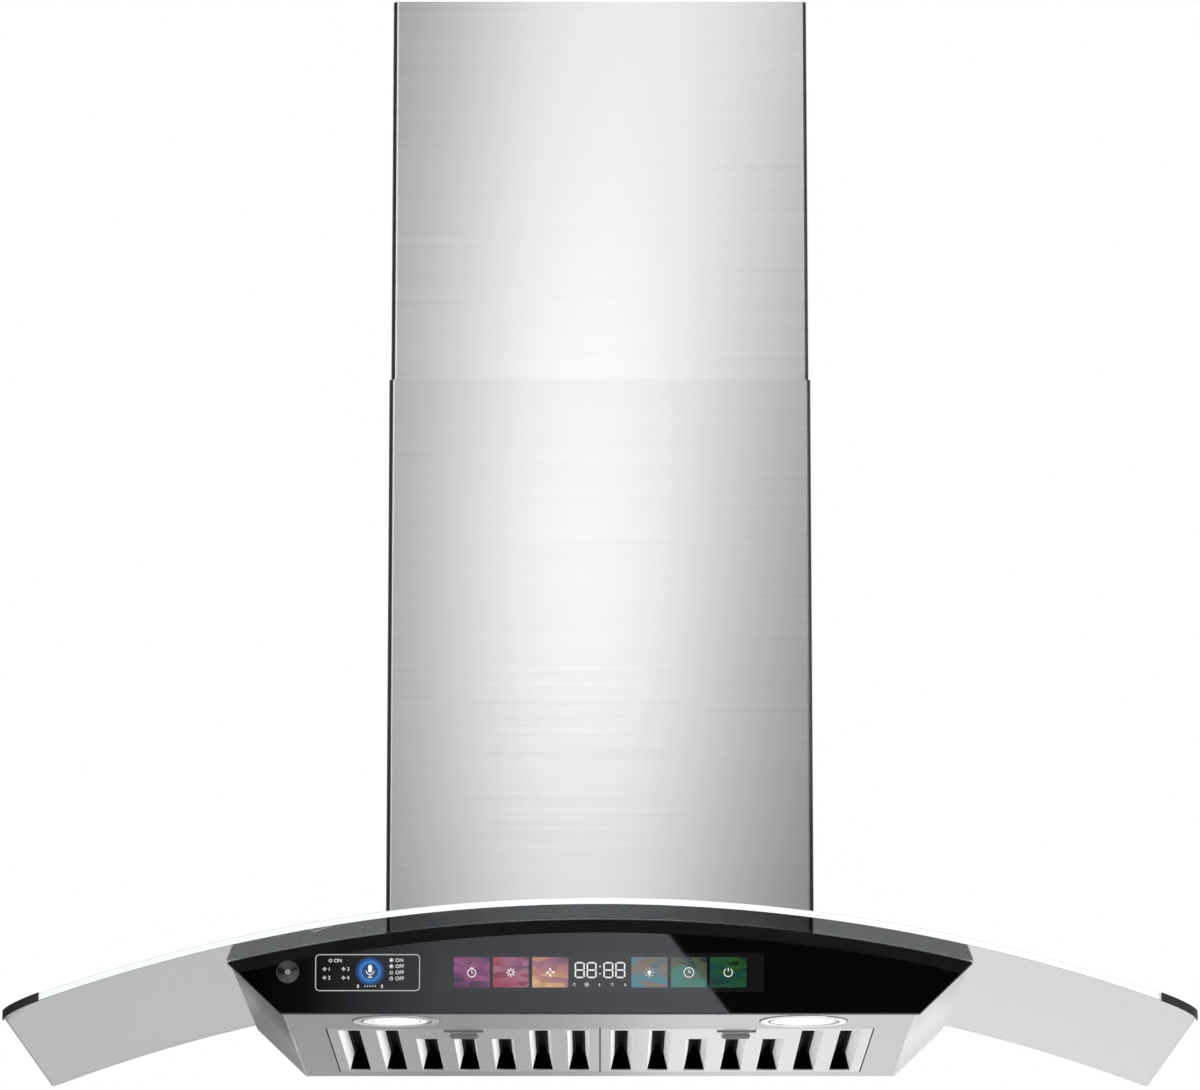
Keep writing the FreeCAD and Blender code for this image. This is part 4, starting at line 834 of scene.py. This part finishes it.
# %% Wafers from shapes
def on_fascia(x, h, lift):
    return (x / 1000, FASCIA_FRONT - lift / 1000, BODY_BOTTOM + h / 1000)


WAFER_SINK = 0.05


def wafer(name, shapes, finish, lift=0.15):
    """Turn flat shapes into closed wafers, sunk a little into the glass so that no gap shows."""
    work = bmesh.new()
    for shape in shapes:
        front = [work.verts.new(on_fascia(x, h, lift)) for x, h in shape]
        back = [work.verts.new(on_fascia(x, h, -WAFER_SINK)) for x, h in shape]
        work.faces.new(front)
        work.faces.new(back[::-1])
        for i in range(len(shape)):
            j = (i + 1) % len(shape)
            work.faces.new((front[j], front[i], back[i], back[j]))
    piece = closed_piece(name, work, [finish])
    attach(piece, "hood")


def lit_finish(name, dark, light, strength):
    """A lit ink: bright where the diodes sit, a little dimmer between them."""
    material, tree, shader = new_finish(name, Roughness=0.3, Emission_Strength=strength)
    shader.inputs["Base Color"].default_value = grey(0.02)
    wear = add_group(tree, wear_group, Smudge_Scale=220.0)
    tree.links.new(mix_colour(tree, wear["Smudge"], dark, light), shader.inputs["Emission Color"])
    return material


white_ink = lit_finish("lit_white", grey(0.82), grey(1.0), 1.0)
pale_ink = lit_finish("lit_pale", grey(0.34), grey(0.52), 1.0)
print("inks:", white_ink.name, pale_ink.name)

# %% [markdown]
# ## The display's window and its six touch tiles
# The display is a slightly lighter window in the glass with three colourful tiles on each side of a clock.
# The tiles carry a plain pattern of slanting facets, warm on the left and cool on the right: a Voronoi
# texture gives the facets, and a colour ramp with a slow slope across the tile gives the colours.

# %% Tile finishes
window_glass, tree, shader = new_finish("display_window", Metallic=0.0, IOR=GLASS_INDEX, Roughness=0.02)
smudge_over(tree, shader, 30.0, (grey(0.006), grey(0.01)))
SYMBOL_RISE = 31.0
TILE_GLOW = 0.87
FACET_STRETCH = (70, 1, 210)
SLOPE_ACROSS, SLOPE_UPWARD, FACET_SHARE, RAMP_START = 14.0, 22.0, 0.6, 0.2


def tile_finish(name, colours, slope, middle):
    material, tree, shader = new_finish(name, Roughness=0.03, Emission_Strength=TILE_GLOW)
    shader.inputs["Base Color"].default_value = grey(0.01)
    spot = shaded_spot(tree)
    turned = add_node(tree, "ShaderNodeMapping", {
        "Vector": spot, "Rotation": (0, math.radians(slope), 0), "Scale": FACET_STRETCH,
    }).outputs[0]
    facets = add_node(tree, "ShaderNodeTexVoronoi", {"Vector": turned, "Scale": 1.0})
    level = add_node(tree, "ShaderNodeSeparateColor", {0: facets.outputs["Color"]}).outputs[0]
    parts = add_node(tree, "ShaderNodeSeparateXYZ", {0: spot}).outputs
    from_middle = math_node(tree, "SUBTRACT", parts["X"], middle / 1000)
    from_symbol = math_node(tree, "SUBTRACT", parts["Z"], BODY_BOTTOM + SYMBOL_RISE / 1000)
    across = math_node(tree, "MULTIPLY", from_middle, SLOPE_ACROSS)
    upward = math_node(tree, "MULTIPLY", from_symbol, SLOPE_UPWARD)
    slanted = math_node(tree, "ADD", across, upward)
    mixed = math_node(tree, "ADD", slanted, math_node(tree, "MULTIPLY", level, FACET_SHARE))
    stops = [(i / (len(colours) - 1), colour + (1,)) for i, colour in enumerate(colours)]
    ramp = colour_ramp(tree, math_node(tree, "ADD", mixed, RAMP_START), stops)
    tree.links.new(ramp, shader.inputs["Emission Color"])
    return material


print("facets stretched by", FACET_STRETCH)

# %% Display window and tiles
WINDOW, WINDOW_CORNER, WINDOW_LIFT = (-125.3, 15.9, 125.3, 46.1), 1.2, 0.06
TILE_LOW, TILE_HIGH, TILE_CORNER, TILE_LIFT = 19.5, 42.8, 0.6, 0.12
TILES = {
    "timer": ((-111.7, -84.3), 24, [
        (0.022, 0.005, 0.026), (0.15, 0.02, 0.13), (0.285, 0.06, 0.169), (0.053, 0.015, 0.091),
    ]),
    "fast_fan": ((-81.8, -54.5), -20, [
        (0.079, 0.015, 0.024), (0.316, 0.029, 0.064), (0.363, 0.117, 0.192), (0.126, 0.029, 0.096),
    ]),
    "slow_fan": ((-51.8, -24.2), 28, [
        (0.64, 0.412, 0.198), (0.492, 0.216, 0.132), (0.344, 0.127, 0.176), (0.115, 0.049, 0.088),
    ]),
    "light": ((24.0, 51.5), -26, [
        (0.049, 0.208, 0.291), (0.061, 0.192, 0.237), (0.22, 0.128, 0.073), (0.073, 0.128, 0.127),
    ]),
    "clock": ((54.3, 81.6), 22, [
        (0.041, 0.195, 0.151), (0.025, 0.165, 0.134), (0.074, 0.09, 0.042), (0.012, 0.045, 0.042),
    ]),
    "power": ((84.1, 111.9), -24, [
        (0.002, 0.036, 0.028), (0.002, 0.058, 0.044), (0.014, 0.086, 0.017), (0.0, 0.004, 0.006),
    ]),
}
wafer("display_window", rounded_bar(*WINDOW, WINDOW_CORNER), window_glass, WINDOW_LIFT)
for name, ((left, right), slope, colours) in TILES.items():
    finish = tile_finish(f"tile_{name}", colours, slope, (left + right) / 2)
    shape = rounded_bar(left, TILE_LOW, right, TILE_HIGH, TILE_CORNER)
    wafer(f"tile_{name}", shape, finish, TILE_LIFT)
print("tiles:", list(TILES))

# %% [markdown]
# ## Symbols that repeat round a ring
# The blades of a fan and the rays of the lamp are one small shape set round a circle. They could be drawn
# one by one, but one geometry tree makes them all: points on a circle, a leaf on each, turned outwards. Its
# inputs are the count and the sizes.

# %% Ring-of-leaves tree
leaf_tree, entry, leave = geometry_tree("ring_of_leaves", {
    "Count": WHOLE, "Ring Radius": FLOAT, "Leaf Length": FLOAT, "Leaf Width": FLOAT, "Leaf Turn": FLOAT,
    "Thickness": FLOAT, "Place": VECTOR, "Material": MATERIAL,
})
spots = add_node(
    leaf_tree, "GeometryNodeMeshCircle", {"Vertices": entry["Count"], "Radius": entry["Ring Radius"]}
)
leaf = add_node(leaf_tree, "GeometryNodeMeshCylinder", {"Vertices": 12, "Radius": 0.5, "Depth": 1.0})
leaf_size = vector_of(leaf_tree, entry["Leaf Length"], entry["Leaf Width"], entry["Thickness"])
leaf_turn = vector_of(leaf_tree, z=entry["Leaf Turn"])
shaped = add_node(leaf_tree, "GeometryNodeTransform", {"Geometry": leaf.outputs["Mesh"], "Scale": leaf_size})
turned = add_node(leaf_tree, "GeometryNodeTransform", {"Geometry": shaped.outputs[0], "Rotation": leaf_turn})
spot = add_node(leaf_tree, "GeometryNodeInputPosition").outputs[0]
outward = add_node(leaf_tree, "FunctionNodeAlignRotationToVector", {"Vector": spot}, axis="X")
leaves = add_node(
    leaf_tree, "GeometryNodeInstanceOnPoints",
    {"Points": spots.outputs[0], "Instance": turned.outputs[0], "Rotation": outward.outputs[0]},
)
standing_ring = add_node(
    leaf_tree, "GeometryNodeTransform",
    {"Geometry": leaves.outputs[0], "Translation": entry["Place"], "Rotation": (math.pi / 2, 0, 0)},
)
finish_tree(leaf_tree, standing_ring.outputs[0], entry["Material"], leave)
MARK_THICK = 0.00016


def leaf_ring(name, x, h, count, ring_radius, length, width, turn=0.0, lift=0.15):
    piece = run_tree(name, leaf_tree, {
        "Count": count, "Ring Radius": ring_radius / 1000, "Leaf Length": length / 1000,
        "Leaf Width": width / 1000, "Leaf Turn": math.radians(turn), "Thickness": MARK_THICK,
        "Place": on_fascia(x, h, lift), "Material": white_ink,
    })
    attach(piece, "hood")


print("tree", leaf_tree.name, "has", len(leaf_tree.nodes), "nodes")

# %% Tile symbols
MARK_LIFT, LEAF_LIFT = 0.22, 0.16
MIDDLE = {name: (span[0] + span[1]) / 2 for name, (span, _, _) in TILES.items()}


def power_mark(x, h, size, width):
    stroke = bar(x - width / 2, h + size * 0.25, x + width / 2, h + size * 1.15)
    return ring(x, h, size, width, -235, 55, 24) + stroke


def clock_mark(x, h, size, width):
    hands = line([(x, h + size * 0.6), (x, h), (x + size * 0.5, h)], width)
    return ring(x, h, size, width) + hands


x, h = MIDDLE["timer"], SYMBOL_RISE
button = bar(x - 1.0, h + 3.1, x + 1.0, h + 3.8)
wafer("mark_timer", clock_mark(x, h - 0.4, 3.1, 0.6) + button, white_ink, MARK_LIFT)
leaf_ring("mark_fast_fan", MIDDLE["fast_fan"], h, 8, 2.35, 2.7, 0.8, 18, lift=LEAF_LIFT)
leaf_ring("mark_slow_fan", MIDDLE["slow_fan"], h, 4, 2.2, 2.9, 1.3, 26, lift=LEAF_LIFT)
x = MIDDLE["light"]
wafer("mark_light", disc(x, h, 1.5) + bar(x - 0.7, h - 2.5, x + 0.7, h - 1.8), white_ink, MARK_LIFT)
leaf_ring("mark_light_rays", x, h, 8, 3.3, 1.5, 0.45, lift=LEAF_LIFT)
wafer("mark_clock", clock_mark(MIDDLE["clock"], h, 3.7, 0.55), white_ink, MARK_LIFT)
wafer("mark_power", power_mark(MIDDLE["power"], h, 3.2, 0.6), white_ink, MARK_LIFT)
print("symbols at", {name: round(x, 1) for name, x in MIDDLE.items()})

# %% [markdown]
# ## The clock's digits
# A clock digit is seven bars: three that lie and four that stand. The tree sets the lying bars on a line of
# three points and the standing ones on a grid of four, which makes one digit, and then repeats that digit
# for the hours and the minutes with two dots between them.

# %% Digit tree
digit_tree, entry, leave = geometry_tree("clock_digits", {
    "Digit Width": FLOAT, "Digit Height": FLOAT, "Bar Width": FLOAT, "Digit Step": FLOAT, "Pair Step": FLOAT,
    "Thickness": FLOAT, "Place": VECTOR, "Material": MATERIAL,
})


def put_on(tree, points, shape):
    return add_node(tree, "GeometryNodeInstanceOnPoints", {"Points": points, "Instance": shape}).outputs[0]


def row_of(tree, shape, count, step):
    """Copies of a shape in a row about the middle, one step apart."""
    start = add_node(tree, "ShaderNodeVectorMath", {0: step, "Scale": (1 - count) / 2}, operation="SCALE")
    points = add_node(
        tree, "GeometryNodeMeshLine", {"Count": count, "Start Location": start.outputs[0], "Offset": step}
    )
    return put_on(tree, points.outputs[0], shape)


def lit_bar(tree, width, height):
    size = vector_of(tree, width, height, entry["Thickness"])
    return add_node(tree, "GeometryNodeMeshCube", {"Size": size}).outputs[0]


def join(tree, *shapes):
    joined = add_node(tree, "GeometryNodeJoinGeometry")
    for shape in shapes:
        tree.links.new(shape, joined.inputs[0])
    return joined.outputs[0]


bar_width, digit_width = entry["Bar Width"], entry["Digit Width"]
half_height = math_node(digit_tree, "MULTIPLY", entry["Digit Height"], 0.5)
lying_room = math_node(digit_tree, "MULTIPLY", bar_width, 1.5)
standing_room = math_node(digit_tree, "MULTIPLY", bar_width, 0.7)
lying = lit_bar(digit_tree, math_node(digit_tree, "SUBTRACT", digit_width, lying_room), bar_width)
standing = lit_bar(digit_tree, bar_width, math_node(digit_tree, "SUBTRACT", half_height, standing_room))
half_step = vector_of(digit_tree, y=half_height)
corners = add_node(digit_tree, "GeometryNodeMeshGrid", {
    "Size X": digit_width, "Size Y": half_height, "Vertices X": 2, "Vertices Y": 2,
}).outputs[0]
digit = join(digit_tree, row_of(digit_tree, lying, 3, half_step), put_on(digit_tree, corners, standing))
pair = row_of(digit_tree, digit, 2, vector_of(digit_tree, entry["Digit Step"]))
both_pairs = row_of(digit_tree, pair, 2, vector_of(digit_tree, entry["Pair Step"]))
dots = row_of(digit_tree, lit_bar(digit_tree, bar_width, bar_width), 2, half_step)
standing_face = add_node(digit_tree, "GeometryNodeTransform", {
    "Geometry": join(digit_tree, both_pairs, dots), "Translation": entry["Place"],
    "Rotation": (math.pi / 2, 0, 0),
})
finish_tree(digit_tree, standing_face.outputs[0], entry["Material"], leave)
print("tree", digit_tree.name, "has", len(digit_tree.nodes), "nodes")

# %% Clock digits
DIGITS_RISE, DIGITS_LIFT = 32.8, 0.12
clock_digits = run_tree("clock_digits", digit_tree, {
    "Digit Width": 0.0066, "Digit Height": 0.0113, "Bar Width": 0.00105, "Digit Step": 0.0091,
    "Pair Step": 0.0219, "Thickness": MARK_THICK, "Place": on_fascia(0, DIGITS_RISE, DIGITS_LIFT),
    "Material": white_ink,
})
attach(clock_digits, "hood")
print("clock digits:", len(clock_digits.data.polygons), "faces")

# %% Small state marks under the clock
row = 21.7
state_marks = ring(-19.7, row, 1.0, 0.45, steps=16) + bar(-20.0, row + 1.0, -19.4, row + 1.7)
state_marks += disc(-10.1, row, 1.2, 12) + ring(-10.1, row, 1.75, 0.3, steps=16)
state_marks += [[(-1.3, row - 0.6), (-0.5, row - 1.5), (0.3, row - 0.6), (-0.5, row + 1.6)]]
state_marks += bar(8.3, row + 0.5, 10.5, row + 1.1) + bar(8.3, row - 0.8, 10.5, row - 0.2)
state_marks += [[(18.2, row - 1.1), (20.4, row - 1.1), (19.3, row + 1.4)]]
wafer("state_marks", state_marks, pale_ink)
print("state marks:", len(state_marks), "shapes")

# %% [markdown]
# ## The voice panel
# Beside the display a fine rounded line frames a microphone in a blue glow, with short marks at both sides
# for what it switches. The marks are plain symbols with ON, OFF and numbers. Letters come from Blender's
# own font and are turned into meshes, because a text object would not keep its look in another program.

# %% Voice panel frame and microphone
VOICE_MIC = (-175.7, 31.9)
VOICE_FRAME, FRAME_CORNER, FRAME_LINE = (-217.3, 17.0, -137.9, 44.7), 3.0, 0.8
outline = rounded_bar(*VOICE_FRAME, FRAME_CORNER)[0]
wafer("voice_frame", line(outline, FRAME_LINE, closed=True), pale_ink)

blue_glow, tree, shader = new_finish("blue_glow", Roughness=0.3, Emission_Strength=1.0)
shader.inputs["Base Color"].default_value = grey(0.005)
reach = distance_between(tree, shaded_spot(tree), on_fascia(*VOICE_MIC, 0))
GLOW_REACH = 0.0115
GLOW_COLOURS = [
    (0.0, (0.01, 0.03, 0.10, 1)), (0.5, (0.01, 0.05, 0.16, 1)), (0.6, (0.03, 0.22, 0.62, 1)),
    (0.78, (0.01, 0.07, 0.26, 1)), (1.0, grey(0.0)),
]
fade = colour_ramp(tree, math_node(tree, "DIVIDE", reach, GLOW_REACH), GLOW_COLOURS)
tree.links.new(fade, shader.inputs["Emission Color"])
wafer("voice_glow", disc(*VOICE_MIC, 11.3, 40), blue_glow, 0.1)

x, h = VOICE_MIC
microphone = rounded_bar(x - 1.5, h - 1.0, x + 1.5, h + 5.0, 1.45)
microphone += ring(x, h + 0.4, 3.0, 0.6, 180, 360, 14)
microphone += bar(x - 0.3, h - 4.4, x + 0.3, h - 2.7) + bar(x - 1.8, h - 5.0, x + 1.8, h - 4.4)
wafer("voice_microphone", microphone, white_ink, 0.2)
print("microphone at", VOICE_MIC)

# %% Words
WORD_SIZE, WORD_DROP = 3.9, 1.3
LETTER_DEPTH, LETTER_LIFT = 0.00006, 0.1


def word(name, letters, x, h):
    text = bpy.data.curves.new(name, "FONT")
    text.body = letters
    text.size = WORD_SIZE / 1000
    text.extrude = LETTER_DEPTH
    worker = add_object(name + "_worker", text)
    mesh = bpy.data.meshes.new_from_object(worker.evaluated_get(bpy.context.evaluated_depsgraph_get()))
    bpy.data.objects.remove(worker)
    mesh.name = name
    mesh.transform(Matrix.Translation(on_fascia(x, h, LETTER_LIFT)) @ Matrix.Rotation(math.pi / 2, 4, "X"))
    mesh.materials.clear()
    mesh.materials.append(white_ink)
    piece = add_object(name, mesh)
    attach(piece, "hood")


word("word_power_on", "ON", -203.4, 38.8)
print("words are", WORD_SIZE, "mm high")

# %% Voice panel marks
SPEED_PLACES = {"1": (-210.5, 33.6), "3": (-196.0, 33.6), "2": (-210.5, 26.9), "4": (-196.0, 26.9)}
SWITCHES = (("ON", 40.4), ("OFF", 35.7), ("OFF", 31.0), ("OFF", 26.3))
SWITCH_MARKS, SWITCH_WORDS, SPEED_WORD_STEP = -159.5, -156.5, 2.6
FOOT_ROW, WAVE_OFFSET, DOT_STEP, DOT_COUNT = 20.4, 7.5, 2, 5
small_marks = power_mark(-206.0, 40.2, 1.2, 0.4)
for number, (x, h) in SPEED_PLACES.items():
    leaf_ring(f"speed_mark_{number}", x, h, 4, 0.95, 1.3, 0.7, 26)
    word(f"word_speed_{number}", number, x + SPEED_WORD_STEP, h - WORD_DROP)
for row, (letters, h) in enumerate(SWITCHES):
    if row < 2:
        small_marks += disc(SWITCH_MARKS, h, 0.8, 14) + ring(SWITCH_MARKS, h, 1.35, 0.3, steps=18)
    elif row == 2:
        small_marks += power_mark(SWITCH_MARKS, h - 0.1, 1.1, 0.38)
    else:
        small_marks += clock_mark(SWITCH_MARKS, h, 1.2, 0.35)
    word(f"word_switch_{row + 1}", letters, SWITCH_WORDS, h - WORD_DROP)
for side, facing in ((-1, 180), (1, 0)):
    for radius in (1.2, 2.2):
        middle = VOICE_MIC[0] + side * WAVE_OFFSET
        small_marks += ring(middle, FOOT_ROW, radius, 0.4, facing - 45, facing + 45, 6)
first_dot = VOICE_MIC[0] - DOT_STEP * (DOT_COUNT - 1) / 2
for i in range(DOT_COUNT):
    small_marks += disc(first_dot + DOT_STEP * i, FOOT_ROW, 0.45, 8)
wafer("voice_marks", small_marks, white_ink)
print("voice marks:", len(small_marks), "shapes")
